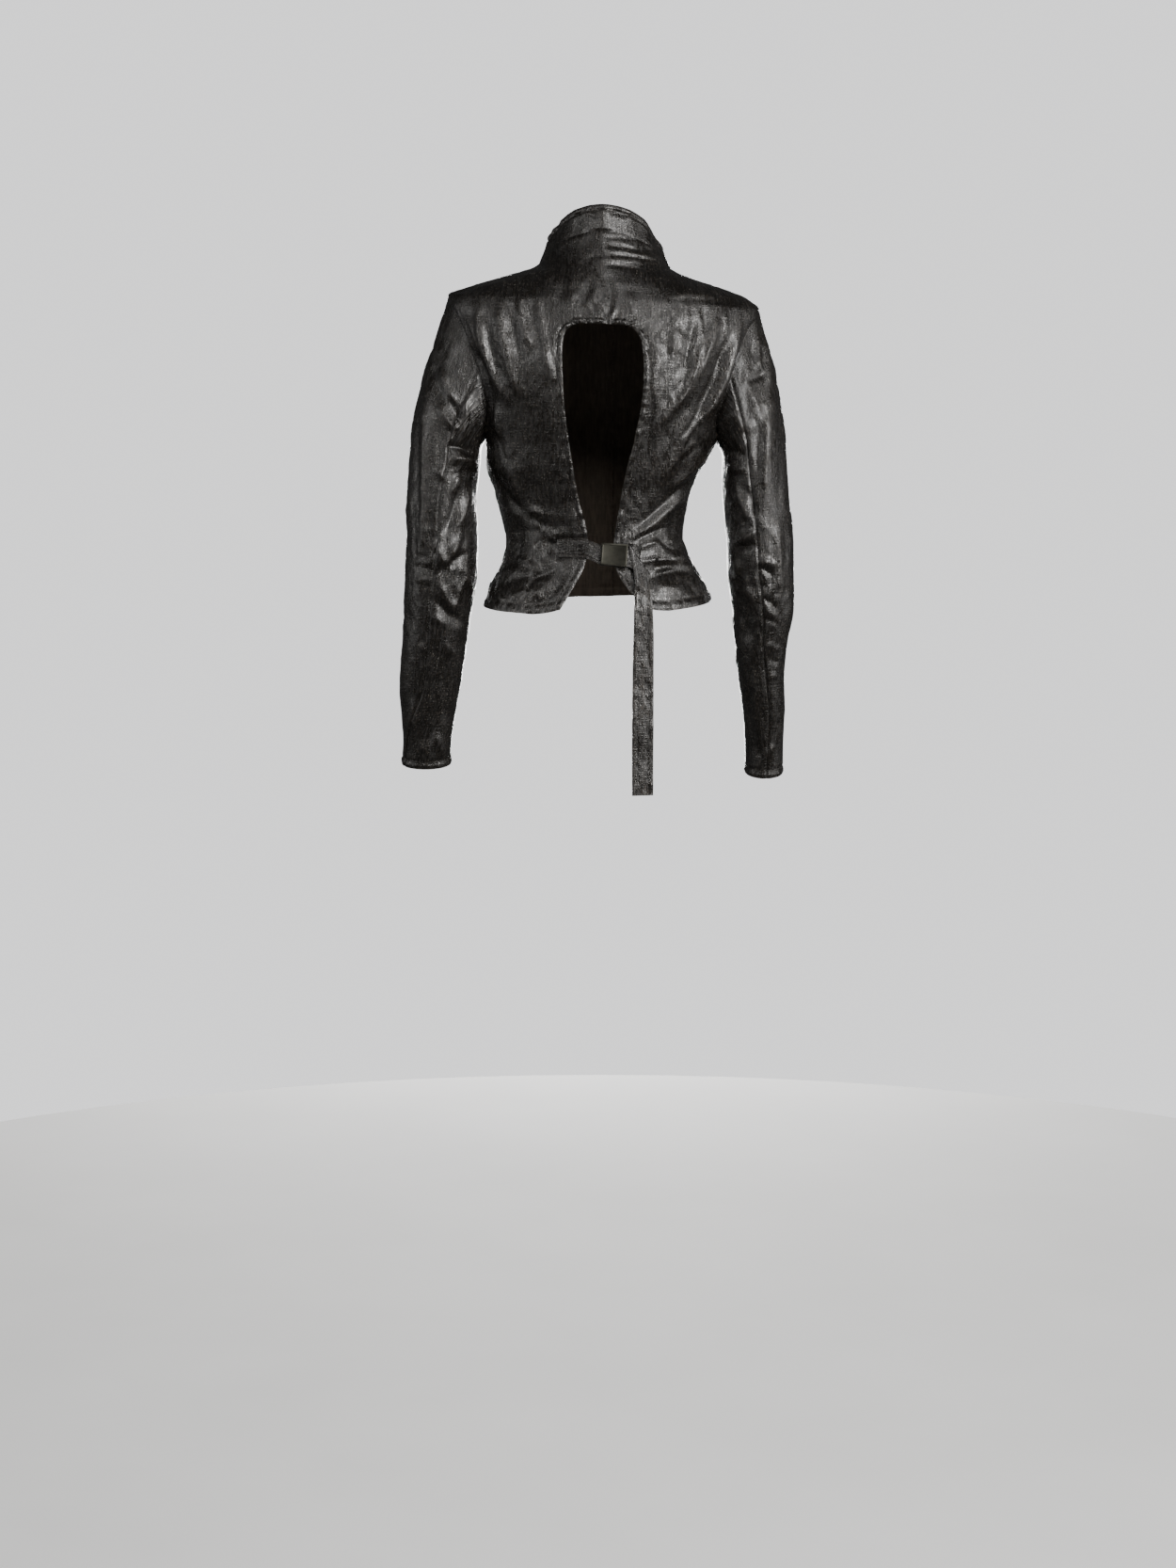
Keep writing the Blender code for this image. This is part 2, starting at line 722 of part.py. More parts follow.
def belt_place(x, z, lift):
    """A point this far out from the back, given as it is seen from behind, and the way out."""
    height = z - tilt(z) * x
    point, out = body(turn_at(height, x), height)
    return point + out * lift, out


def tail_place(x, z, lift):
    """The tail follows the back down to the hem and then hangs straight."""
    place, _ = belt_place(x, max(z, TAIL_FALL), lift)
    return Vector((x, place.y, z))


def strap_sections():
    """Pairs of edge points with the direction out of the strap's first face."""
    sections = []
    for row in STRAP:
        top, out = belt_place(row.top_x, row.top_z, row.lift)
        low, _ = belt_place(row.low_x, row.low_z, row.lift)
        sections.append((top, low, out))
    top, out = belt_place(*CREASE_TOP, STUB_LIFT)
    low, _ = belt_place(*CREASE_LOW, STUB_LIFT)
    away = (top - low).cross(out).normalized()
    away = away if away.x < 0 else -away
    for k in range(CREASE_STEPS + 1):
        swing = math.pi * k / CREASE_STEPS
        shift = away * math.sin(swing) + out * (1 - math.cos(swing))
        face = out * math.cos(swing) - away * math.sin(swing)
        sections.append((top + shift * CREASE_RADIUS, low + shift * CREASE_RADIUS, face))
    for row in TAIL:
        top = tail_place(row.top_x, row.top_z, row.lift)
        low = tail_place(row.low_x, row.low_z, row.lift)
        sections.append((top, low, -out))
    return sections


def add_strap():
    """The belt strap: sewn on the left back, through the buckle, folded over and hanging."""
    points, inward = {}, {}
    for i, (top, low, out) in enumerate(strap_sections()):
        for j in range(3):
            points[(i, j)] = mix(top, low, j / 2) + out * STRAP_THICK / 2
            inward[(i, j)] = -out * STRAP_THICK
    quads = grid_quads(len(STRAP) + CREASE_STEPS + len(TAIL), 2)
    finish_cloth("belt_strap", points, inward, quads)


def add_tab():
    """The short tab sewn on the right back that carries the buckle."""
    points, inward = {}, {}
    for i, x in enumerate(spaced(TAB_FROM, TAB_TO, TAB_STATIONS)):
        for j in range(3):
            z = BUCKLE_Z + TAB_WIDTH * (0.5 - j / 2) + (x - BUCKLE_X) * TAB_SLOPE
            points[(i, j)], out = belt_place(x, z, SEAT_GAP + TAB_THICK)
            inward[(i, j)] = -out * TAB_THICK
    finish_cloth("belt_tab", points, inward, grid_quads(TAB_STATIONS, 2))


def buckle_frame():
    """The buckle's own axes: along the strap, up its face and out of it."""
    centre, out = belt_place(BUCKLE_X, BUCKLE_Z, BUCKLE_SEAT)
    roll = math.radians(BUCKLE_ROLL)
    along = Vector((math.cos(roll), 0, math.sin(roll)))
    along = (along - out * along.dot(out)).normalized()
    return centre, along, out.cross(along) * -1, out


def frame_point(frame, a, b, c):
    centre, along, up, out = frame
    return centre + along * a + up * b + out * c


def add_profile(name, frame, outline, half_length, bevel):
    """A bar along the strap with this outline in the up and out directions."""
    build = bmesh.new()
    ends = [
        [build.verts.new(frame_point(frame, a, up, out)) for up, out in outline]
        for a in (-half_length, half_length)
    ]
    build.faces.new(ends[0])
    build.faces.new(list(reversed(ends[1])))
    near, far = ends
    for k in range(len(outline)):
        after = (k + 1) % len(outline)
        build.faces.new([near[k], far[k], far[after], near[after]])
    bmesh.ops.recalc_face_normals(build, faces=build.faces)
    if bevel:
        edges = [e for e in build.edges if e.calc_face_angle(0) > 1]
        bmesh.ops.bevel(build, geom=edges, offset=bevel, segments=2, affect="EDGES")
    finish_mesh(name, build, METAL_COLOUR, METAL_ROUGHNESS, metallic=1.0)


def add_buckle():
    """A clamp buckle: a channel that the strap lies in and a square cover on it."""
    frame = buckle_frame()
    tall, plate, deep = BUCKLE_TALL / 2, BUCKLE_PLATE, BUCKLE_PLATE + BUCKLE_CHANNEL
    channel = [
        (-tall, 0), (tall, 0), (tall, deep), (tall - plate, deep),
        (tall - plate, plate), (-tall + plate, plate), (-tall + plate, deep), (-tall, deep),
    ]
    add_profile("buckle_channel", frame, channel, BUCKLE_WIDE / 2 - BUCKLE_LIP, 0)
    low = deep + SEAM_GAP
    cover = [(-tall, low), (tall, low), (tall, low + BUCKLE_COVER), (-tall, low + BUCKLE_COVER)]
    add_profile("buckle_cover", frame, cover, BUCKLE_WIDE / 2, BUCKLE_BEVEL)


def add_button(number):
    """A flat button on the right front, seated on the cloth."""
    height = TOP_BUTTON - BUTTON_SPACING * number
    point, out = body(turn_at(height, 0, front=True), height)
    seat = point + out * (BUTTON_SHANK + BUTTON_THICK / 2)
    build = bmesh.new()
    bmesh.ops.create_cone(
        build,
        cap_ends=True,
        segments=BUTTON_SIDES,
        radius1=BUTTON_RADIUS,
        radius2=BUTTON_RADIUS,
        depth=BUTTON_THICK,
    )
    rims = [e for e in build.edges if e.calc_face_angle(0) > 1]
    bmesh.ops.bevel(build, geom=rims, offset=BUTTON_BEVEL, segments=1, affect="EDGES")
    turn = out.to_track_quat("Z", "Y").to_matrix().to_4x4()
    bmesh.ops.transform(build, matrix=turn, verts=build.verts)
    bmesh.ops.translate(build, vec=seat, verts=build.verts)
    finish_mesh(f"button_{number + 1}", build, BUTTON_COLOUR, BUTTON_ROUGHNESS)


def main():
    clear_scene()
    add_back()
    add_front("front_left", 1, under=True)
    add_front("front_right", -1, under=False)
    add_collar()
    add_sleeve("sleeve_left", 1, LEFT_ARM)
    add_sleeve("sleeve_right", -1, RIGHT_ARM)
    add_strap()
    add_tab()
    add_buckle()
    for number in range(BUTTONS):
        add_button(number)


main()
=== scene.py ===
import math
from collections import namedtuple

import bpy
import numpy as np
from mathutils import Matrix, Vector, kdtree, noise
from mathutils.bvhtree import BVHTree


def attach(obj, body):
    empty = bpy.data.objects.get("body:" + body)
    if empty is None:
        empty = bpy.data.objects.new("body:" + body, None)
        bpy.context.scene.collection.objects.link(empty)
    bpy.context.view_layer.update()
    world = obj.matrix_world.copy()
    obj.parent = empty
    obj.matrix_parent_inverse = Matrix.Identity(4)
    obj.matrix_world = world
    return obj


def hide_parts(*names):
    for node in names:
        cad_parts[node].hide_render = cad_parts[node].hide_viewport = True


bl_info = {
    "name": "Open-back blazer",
    "version": (1, 0, 0),
    "blender": (4, 5, 0),
    "location": "3D View > Sidebar > Blazer",
    "description": "Dresses the solids of a cropped open-back blazer in coated linen",
    "category": "Object",
}

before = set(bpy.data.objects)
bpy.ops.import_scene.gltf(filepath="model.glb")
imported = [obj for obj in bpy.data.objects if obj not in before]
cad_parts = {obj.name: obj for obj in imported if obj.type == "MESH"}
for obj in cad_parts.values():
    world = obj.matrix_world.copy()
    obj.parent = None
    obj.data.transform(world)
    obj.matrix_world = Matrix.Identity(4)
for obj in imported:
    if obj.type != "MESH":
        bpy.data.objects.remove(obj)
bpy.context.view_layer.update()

# Lengths are millimetres and angles are degrees until a mesh is written.
MM = 0.001

# Body of the garment
SHOULDER_TIP = -47.0
UNDERARM = -224.0
SIDE_HEM = -434.0
BACK_HEM_DIP = 7.0
NECK_POINT = -2.0
BACK_NECK_RISE = 43.0
FRONT_NECK_DROP = 56.0
SHOULDER_TILT = 0.045
HEM_TILT = -0.025
BACK_ARMHOLE_TURN = 27.0
FRONT_ARMHOLE_TURN = 31.0
FRONT_OVERLAP = 12.0
FRONT_EDGE_TURN = 188.3
OVERLAP_TUCK = 2.0

# Rows and columns of the panels' own lines
SIDE_ROWS = 12
ARMHOLE_ROWS = 12
CUTOUT_TOP_ROW = SIDE_ROWS + 6
ROWS = SIDE_ROWS + ARMHOLE_ROWS
CENTRE_COLUMNS = 4
NECK_COLUMNS = 6
COLUMNS = 14
CAP_RINGS = 8
ARM_RINGS = 14
UNDER_SEAM = 240.0
BACK_SEAM = 90.0
CROWN_OUT = 2.7
CROWN_UP = 0.75
UNDERARM_LIFT = 0.85
UNDERARM_SPREAD = 5.0
CUFF_DROP = 5.0
COLLAR_END = 176.0
COLLAR_RINGS = 25

# Belt
STRAP_THICK = 1.5
STRAP_SEAT = 1.45
STUB_LIFT = 5.2
CREASE_TOP = (-29.5, -357.5)
CREASE_LOW = (-55.0, -396.0)
CREASE_RADIUS = 1.25
CREASE_STEPS = 6
TAIL_FALL = -436.0
BELT_MIDDLE = -359.5
BELT_DROP = 11.5
BELT_HALF = 16.5
BELT_LEFT = 66.0
BELT_RIGHT = -47.0
BUCKLE_WIDE = 34.0
BUCKLE_TALL = 29.0
BUCKLE_X = -11.0
BUCKLE_Z = -369.0
BUCKLE_ROLL = 4.0
BUCKLE_SEAT = 2.7
BUCKLE_PLATE = 1.0
BUCKLE_CHANNEL = 2.6
BUCKLE_COVER = 1.6
COVER_GAP = 0.34
NOTCHES_DOWN = 13
NOTCHES_ALONG = 15
NOTCH_HALF = 0.45
TAB_WIDE = 25.0
TAB_SEAT = 0.7
TAB_THICK = 1.2
BELT_STEPS = 9
TAIL_STEPS = 24
STRAP_COLUMNS = 19
STRAP_SEAM = 0.78
STRAP_STITCH = 2.6

# Front closure
BUTTONS = 5
BUTTON_RADIUS = 9.0
BUTTON_THICK = 3.0
BUTTON_SHANK = 0.64
TOP_BUTTON = -84.0
BUTTON_SPACING = 76.0
BUTTON_HOLES = 1.7
HOLE_RADIUS = 0.85
THREAD_SINK = 0.75
THREAD_PAIR = 0.28
THREAD_REACH = 1.75
THREAD_ARCH = 0.15

# Sewing
BODY_HEM = 12.0
EDGE_HEM = 7.0
COLLAR_END_HEM = 6.0
SEAM_FURROW = 0.7
NECK_FURROW = 0.2
ARMHOLE_FURROW = 0.75
SLEEVE_FURROW = 1.8
ALLOWANCE = 3.4
ALLOWANCE_DEPTH = 1.0
EDGE_WEAR = 0.65

# Lines that are searched for their nearest point
RAIL_STEP = 0.8
RAIL_REACH = 22.0

# Creases are pressed this much deeper and narrower than their tables say, they run a
# little past their ends, as a share of their length, and fade in over this share of it
CREASE_DEEPENING = 1.2
CREASE_NARROWING = 0.85
CREASE_PAST_END = 0.12
CREASE_FADE = 0.42

# Crinkles from large to fine: their size, seed and stretch, how much of them is left on
# the smoothest cloth, and how high they are
CRINKLES = (
    (36, 1, (1.3, 1.3, 0.8), 0.5, 0.75),
    (17, 2, (1.2, 1.2, 0.9), 0.25, 0.5),
    (8, 4, (1.3, 1.3, 0.6), 0.3, 0.3),
)


def rows_of(kind, rows):
    """A table's rows with their columns named."""
    return [kind(*row) for row in rows]


# Form of the body, ring by ring
Ring = namedtuple("Ring", "height left right front back square")
BODY = rows_of(Ring, [
    (-445, 162, 142, 102, 96, 2.3),
    (-415, 151, 132, 99, 88, 2.3),
    (-395, 142, 119, 95, 80, 2.3),
    (-375, 133, 109, 92, 75, 2.25),
    (-350, 129, 101.5, 91, 71, 2.2),
    (-320, 135, 105.5, 94, 73, 2.2),
    (-290, 143, 112, 101, 78, 2.2),
    (-260, 153, 124, 111, 85, 2.25),
    (-225, 155, 143, 122, 92, 2.3),
    (-190, 164, 153, 125, 99, 2.35),
    (-150, 178, 170, 117, 103, 2.35),
    (-115, 189, 184, 103, 103, 2.3),
    (-80, 197, 194, 87, 98, 2.25),
    (-47, 201.5, 199, 72, 90, 2.15),
    (-39, 184, 190, 69, 87, 2.1),
    (-32, 167, 178, 66, 84, 2.1),
    (-24, 142, 153, 62, 81, 2.1),
    (-18, 124, 131, 59, 78, 2.1),
    (-12, 105, 112, 57, 75, 2.1),
    (-6, 90, 94, 55, 72, 2.1),
    (0, 83, 83, 53, 69, 2.1),
    (10, 77, 76, 50, 65, 2.1),
    (25, 71, 70, 45, 60, 2.1),
    (45, 62, 62, 40, 55, 2.1),
    (85, 60, 60, 38, 50, 2.1),
])

# The open back: the edge's distance from the centre on each side
Cutout = namedtuple("Cutout", "height left right")
CUTOUT = rows_of(Cutout, [
    (-436, 58, 57),
    (-431, 54, 51),
    (-411, 42.5, 33),
    (-395, 33, 21.5),
    (-380, 25.5, 14.5),
    (-363, 22.5, 13.5),
    (-349, 22, 14.5),
    (-326, 25.8, 19),
    (-302, 33, 24.5),
    (-262, 40, 32.5),
    (-212, 48, 41.5),
    (-180, 52, 48),
    (-145, 54, 50.5),
    (-102, 54, 47.8),
    (-85, 49, 41),
    (-75.5, 38, 31),
])
CUTOUT_STRAIGHT_TOP = -96.0
CUTOUT_SHOULDER_ROWS = [-86.0, -79.0, -75.5]

# Sleeves: seam is the back seam's place round the arm, 0 outside, 90 behind
Arm = namedtuple("Arm", "height out back wide deep seam")
LEFT_ARM = rows_of(Arm, [
    (-250, 208, 2, 46, 56, 97),
    (-300, 213, 4, 45.5, 53, 90),
    (-350, 212, 6, 46.5, 50, 84),
    (-400, 215, 5, 46.5, 47, 80),
    (-450, 219, 0, 43.5, 45, 78),
    (-500, 225, -8, 42, 42, 80),
    (-550, 231, -18, 40, 38, 78),
    (-590, 234, -27, 35, 35, 56),
    (-625, 236, -34, 32, 33, 34),
    (-652, 237.5, -39, 33, 32, 30),
])
RIGHT_ARM = rows_of(Arm, [
    (-250, 195, 2, 41.5, 56, 107),
    (-300, 197, 4, 43, 53, 100),
    (-350, 202, 6, 43, 50, 98),
    (-400, 204, 5, 42.5, 47, 96),
    (-450, 207.5, 0, 39.5, 44, 93),
    (-485, 206, -6, 35, 42, 90),
    (-526, 206, -14, 31, 40, 82),
    (-579, 210.5, -25, 28, 37, 78),
    (-625, 212, -35, 25.5, 35, 82),
    (-664, 212.5, -40, 25.5, 34, 86),
])

# Stand collar: its rise from the neckline and its lean away from the neck
Stand = namedtuple("Stand", "turn rise left right")
COLLAR = rows_of(Stand, [
    (0, 34, -4, -4),
    (34, 34, -6, -6),
    (60, 34, -10, -10),
    (90, 37, -13, -16),
    (115, 41, -4, -16),
    (140, 45, 4, -5),
    (165, 47, 9, 5),
    (186, 46, 10, 8),
])

# The strap's two edges as seen from behind, and its lift from the cloth
Strap = namedtuple("Strap", "top_x top_z low_x low_z lift")
STRAP = rows_of(Strap, [
    (61, -347, 61, -371, STRAP_SEAT),
    (48, -347, 48, -371.5, STRAP_SEAT),
    (35, -347, 35, -372, STRAP_SEAT),
    (24, -347.5, 24, -373, STRAP_SEAT + 0.3),
    (14, -352, 14, -377, 3.6),
    (6, -355.3, 6, -380.5, STUB_LIFT),
    (-8, -356.2, -8, -381.4, STUB_LIFT),
    (-20, -357, -20, -382.2, STUB_LIFT),
    (-27, -357.3, -31, -385, STUB_LIFT),
])
TAIL = rows_of(Strap, [
    (-33, -371, -56.5, -402, STUB_LIFT + 2 * CREASE_RADIUS),
    (-36.5, -388, -58.5, -412, 7.4),
    (-38, -404, -60, -424, 6.2),
    (-37.3, -434, -60.8, -440, 4.9),
    (-36.5, -462, -62, -465, 4.4),
    (-35.5, -516, -62.3, -517, 4.4),
    (-35, -570, -62.3, -570, 4.4),
    (-35, -625, -62.2, -625, 4.4),
    (-35, -677, -62, -677, 4.4),
])

# Creases, from one end to the other as they are seen from their side: bow is how far
# the middle stands aside, wide is half its breadth, and a positive height is a ridge
Crease = namedtuple("Crease", "x z to_x to_z bow wide high")
BACK_CREASES = rows_of(Crease, [
    # left: fanning down from the shoulder
    (178, -64, 162, -112, 3, 5, 1.8),
    (163, -54, 126, -170, -7, 8, 5.8),
    (150, -64, 128, -158, -6, 6, -4.2),
    (135, -50, 104, -172, -6, 8, 4.9),
    (121, -58, 106, -124, -2, 6, -3.3),
    (110, -44, 94, -104, -3, 7, 3.9),
    (97, -48, 80, -112, 0, 6, -2.7),
    (86, -46, 66, -150, -3, 7, 2.9),
    (170, -104, 147, -202, 7, 13, -5.2),
    (143, -176, 137, -222, 0, 6, 2.2),
    (148, -205, 120, -262, 3, 9, -2.2),
    (134, -218, 112, -300, 3, 9, 1.8),
    (142, -262, 104, -318, -4, 9, -3.2),
    (104, -318, 58, -336, -3, 7, -2.4),
    (98, -311, 78, -317, 1, 5, 2.8),
    (95, -326, 84, -333, 0, 4, 1.8),
    (74, -330, 69, -352, 0, 5, 1.6),
    (88, -338, 96, -366, 2, 6, 1.4),
    (112, -320, 118, -385, 4, 12, -3.6),
    (136, -414, 98, -398, 5, 8, -2.6),
    (98, -398, 62, -384, -3, 7, -1.8),
    (122, -426, 88, -414, 3, 6, 2.4),
    (100, -428, 74, -404, 0, 5, 1.6),
    (88, -432, 58, -404, -2, 5, -1.6),
    (150, -412, 128, -432, 0, 6, 1.8),
    (60, -420, 42, -392, 0, 6, 1.2),
    (118, -372, 84, -392, 3, 4, 2.0),
    (84, -392, 104, -424, -2, 4, -2.0),
    (74, -346, 66, -372, 2, 4, -1.8),
    (84, -352, 78, -382, 0, 4, 1.8),
    (110, -398, 76, -430, 2, 3.4, 1.8),
    (70, -398, 56, -424, 1, 3.4, -1.6),
    (132, -398, 118, -426, 1, 4, 1.8),
    (96, -404, 70, -404, 2, 3.4, 1.6),
    # right: long ridges from the shoulder to the centre
    (-83, -42, -142, -44, 3, 6, 2.2),
    (-144, -64, -74, -197, 9, 8.5, 5.8),
    (-155, -90, -114, -190, 5, 7, -4.8),
    (-172, -70, -117, -210, 8, 7.5, 5.2),
    (-188, -72, -160, -134, 4, 6, -2.6),
    (-112, -70, -100, -136, 0, 6, -3.0),
    (-158, -122, -106, -214, 5, 4, 2.2),
    (-148, -132, -94, -220, 5, 3.4, -2.0),
    (-120, -106, -84, -190, 4, 4, 1.8),
    (-130, -94, -98, -168, 4, 3.4, -1.8),
    (-74, -210, -46, -296, 3, 5, 1.6),
    (-60, -150, -50, -246, 2, 4, -1.4),
    (-88, -230, -60, -300, 2, 4, 1.8),
    (-150, -56, -152, -100, 2, 3.4, 1.8),
    (-122, -50, -126, -92, 2, 4, -1.6),
    (-100, -46, -103, -84, 1, 4, 1.6),
    (-104, -136, -72, -232, 4, 9, -3.0),
    (-92, -60, -84, -120, 0, 7, 1.8),
    (-66, -96, -60, -180, 0, 8, 1.6),
    (-110, -196, -64, -278, 6, 11, 3.2),
    (-128, -176, -98, -236, 3, 7, -2.6),
    (-136, -232, -82, -284, 4, 8, 3.6),
    (-126, -226, -96, -250, 0, 5, -2.0),
    (-114, -266, -36, -336, 3, 8, -3.4),
    (-104, -290, -32, -348, 3, 8, 3.4),
    (-98, -306, -88, -352, -3, 9, -3.4),
    (-36, -352, -78, -334, 2, 3.4, -2.2),
    (-56, -362, -98, -352, 3, 10, 2.0),
    (-40, -362, -70, -352, 2, 5, 2.6),
    (-94, -366, -112, -392, -3, 7, 2.8),
    (-66, -348, -96, -368, 0, 6, -2.4),
    (-42, -378, -98, -378, 3, 4, -2.4),
    (-60, -387, -90, -386, 2, 6, 2.8),
    (-60, -398, -106, -392, 5, 5, -3.0),
    (-66, -410, -98, -414, 2, 8, 2.2),
    (-104, -402, -124, -426, 0, 7, -2.2),
    (-40, -402, -34, -424, 0, 5, 1.6),
    # tucks below the collar, on the right
    (6, 33, -46, 29, 1.5, 2.4, -1.0),
    (-8, 29, -58, 20, -1, 3.2, 0.9),
    (-2, 23, -44, 17, 1.5, 2.2, -1.3),
    (-24, 26, -66, 15, 1, 2.2, -0.9),
    (4, 17, -66, 8, 1, 3.6, 1.0),
    (-8, 11, -60, 3, 2, 2.2, -1.3),
    (-30, 10, -72, 6, 2, 2.6, 0.8),
    (10, 4, -74, -1, 3, 3.4, 1.0),
    (2, -2, -50, -8, 1.5, 2.6, -1.0),
    (24, 6, 0, 10, 1, 3, -0.8),
    (56, 8, 78, 30, 2, 4, -1.6),
    (66, 2, 90, 22, 2, 4, 1.8),
    (-66, 24, -80, 4, 2, 4, -1.6),
    (3, 46, 2, -14, 0, 15, 2.2),
    # between the shoulders
    (14, -26, 22, -60, 3, 6, 1.6),
    (-6, -34, 0, -66, 2, 5, -1.2),
    (40, -20, 44, -60, 0, 8, 1.0),
    (-30, -34, -36, -66, 0, 7, 1.2),
    (16, -10, 8, -40, 3, 4, 1.5),
    (24, -44, 12, -64, 2, 3, -1.5),
    (10, -48, -2, -62, 2, 3, 1.6),
    (30, -56, 18, -40, -2, 3, 1.4),
    (0, -16, -8, -52, 2, 4, -1.3),
    (-14, -52, -4, -70, 1, 3, 1.4),
    (52, -8, 60, -50, 2, 6, -1.2),
])
FRONT_CREASES = rows_of(Crease, [
    (168, -78, 92, -190, 6, 10, 4.0),
    (156, -112, 96, -214, 4, 9, -3.6),
    (128, -62, 84, -160, 4, 9, 2.6),
    (150, -176, 74, -236, 5, 9, 2.8),
    (146, -214, 60, -262, 4, 10, -2.4),
    (-164, -76, -90, -188, -6, 10, 4.0),
    (-150, -118, -86, -224, -4, 9, -3.6),
    (-120, -64, -80, -158, -4, 9, 2.4),
    (-142, -180, -66, -244, -5, 9, 2.8),
    (-138, -222, -54, -268, -4, 10, -2.2),
    (118, -318, 24, -344, 5, 9, -3.2),
    (112, -338, 30, -362, 4, 7, 2.8),
    (104, -362, 34, -378, 3, 8, -2.6),
    (110, -384, 40, -392, 3, 8, 2.6),
    (-96, -322, -22, -348, -5, 9, -3.2),
    (-92, -344, -26, -368, -4, 7, 2.8),
    (-94, -368, -30, -380, -3, 8, -2.6),
    (-96, -390, -34, -398, -3, 8, 2.4),
    (90, -410, 60, -430, 2, 7, 1.8),
    (-84, -408, -52, -430, 2, 7, 1.8),
])
# Sleeves, seen from behind, then seen from the front
LEFT_BEHIND = rows_of(Crease, [
    (203, -78, 190, -112, 2, 4, 1.6),
    (213, -82, 200, -118, -2, 4, -1.8),
    (197, -98, 206, -128, 2, 3.5, 1.6),
    (189, -100, 196, -138, 2, 4, -1.6),
    (208, -132, 189, -178, -3, 6, 3.4),
    (222, -122, 206, -176, -3, 6, -3.0),
    (211, -176, 192, -208, -3, 6, 3.6),
    (198, -168, 186, -204, 0, 5, -2.4),
    (226, -146, 233, -318, -3, 8, 3.0),
    (240, -190, 243, -330, 0, 7, -2.2),
    (216, -200, 214, -262, 3, 8, -2.6),
    (178, -170, 186, -222, 2, 7, 2.4),
    (204, -230, 170, -240, 3, 6, -3.4),
    (198, -246, 166, -252, 3, 7, 4.0),
    (196, -268, 164, -262, 2, 5, -2.6),
    (218, -258, 204, -274, 0, 3, 2.4),
    (188, -258, 198, -292, 2, 6, 2.2),
    (176, -284, 192, -336, 3, 6, 3.6),
    (190, -284, 206, -340, 3, 6, -3.2),
    (234, -306, 234, -362, 0, 5, 2.4),
    (222, -316, 221, -372, 0, 6, -2.0),
    (218, -352, 206, -388, 0, 5, 3.0),
    (190, -352, 206, -388, 0, 5, 3.0),
    (216, -398, 174, -366, 4, 6, -3.8),
    (214, -406, 196, -444, 0, 5, 3.0),
    (186, -404, 197, -444, 0, 5, 3.2),
    (181, -382, 178, -414, 0, 5, 2.4),
    (222, -424, 182, -462, -3, 7, -3.2),
    (250, -372, 226, -374, 1, 3, -1.6),
    (248, -386, 226, -388, 1, 3, -1.6),
    (244, -402, 226, -403, 1, 4, 2.0),
    (222, -448, 208, -462, 0, 4, 2.2),
    (212, -486, 192, -504, 0, 7, 1.8),
    (240, -486, 232, -498, 0, 4, 1.6),
    (250, -560, 260, -606, 3, 6, 2.4),
    (214, -560, 230, -620, 3, 9, -2.0),
    (246, -616, 232, -640, 0, 5, 1.6),
    (222, -606, 214, -640, 0, 5, 1.4),
])
LEFT_AHEAD = rows_of(Crease, [
    (232, -120, 190, -210, -4, 9, 3.0),
    (220, -160, 176, -240, -4, 8, -3.0),
    (240, -300, 176, -352, 4, 7, -3.4),
    (242, -332, 178, -376, 4, 6, 3.4),
    (240, -362, 178, -392, 4, 6, -4.0),
    (238, -388, 180, -404, 3, 6, 3.6),
    (244, -404, 184, -424, 3, 6, -3.0),
    (240, -430, 190, -446, 3, 6, 2.4),
    (230, -520, 250, -580, 3, 9, 2.0),
    (220, -600, 246, -630, 3, 6, -1.6),
])
RIGHT_BEHIND = rows_of(Crease, [
    (-194, -84, -196, -128, 2, 5, 3.4),
    (-184, -92, -188, -132, 2, 4, -2.4),
    (-204, -88, -210, -150, 2, 5, 3.0),
    (-199, -100, -203, -140, 2, 4, -2.6),
    (-185, -118, -204, -136, 2, 4, 2.4),
    (-184, -150, -206, -138, 2, 5, -2.8),
    (-186, -160, -196, -196, 2, 6, 2.0),
    (-214, -140, -208, -322, -4, 9, 3.4),
    (-196, -190, -196, -280, 0, 8, -2.2),
    (-226, -170, -226, -330, 0, 8, -1.8),
    (-166, -186, -180, -212, 0, 6, 2.0),
    (-160, -236, -182, -246, 2, 6, -2.6),
    (-158, -258, -180, -262, 2, 6, 2.2),
    (-168, -284, -184, -334, 3, 5, 3.0),
    (-178, -280, -192, -322, 3, 5, -2.4),
    (-164, -350, -194, -336, -6, 5, 3.6),
    (-164, -336, -184, -320, -3, 5, -2.4),
    (-162, -364, -196, -358, 3, 5, -4.0),
    (-168, -374, -170, -398, 2, 5, 2.6),
    (-164, -396, -190, -412, -2, 5, -2.8),
    (-178, -400, -194, -430, 0, 7, 3.0),
    (-198, -386, -217, -397, 2, 2.8, -2.6),
    (-200, -378, -222, -384, 2, 4, 1.8),
    (-204, -426, -222, -440, 2, 2.8, -2.4),
    (-206, -440, -224, -450, 0, 4, 1.6),
    (-207, -453, -225, -460, 1, 2.8, -2.2),
    (-222, -320, -226, -430, 0, 6, 2.4),
    (-176, -440, -190, -486, 0, 8, -2.2),
    (-210, -486, -226, -494, 0, 4, 1.8),
    (-212, -506, -228, -512, 0, 4, -1.8),
    (-214, -528, -226, -530, 0, 4, 1.8),
    (-198, -520, -204, -606, -3, 7, 2.2),
    (-190, -540, -196, -620, -3, 7, -2.2),
    (-222, -622, -214, -638, 0, 5, 2.0),
    (-198, -622, -206, -640, 0, 5, -1.6),
])
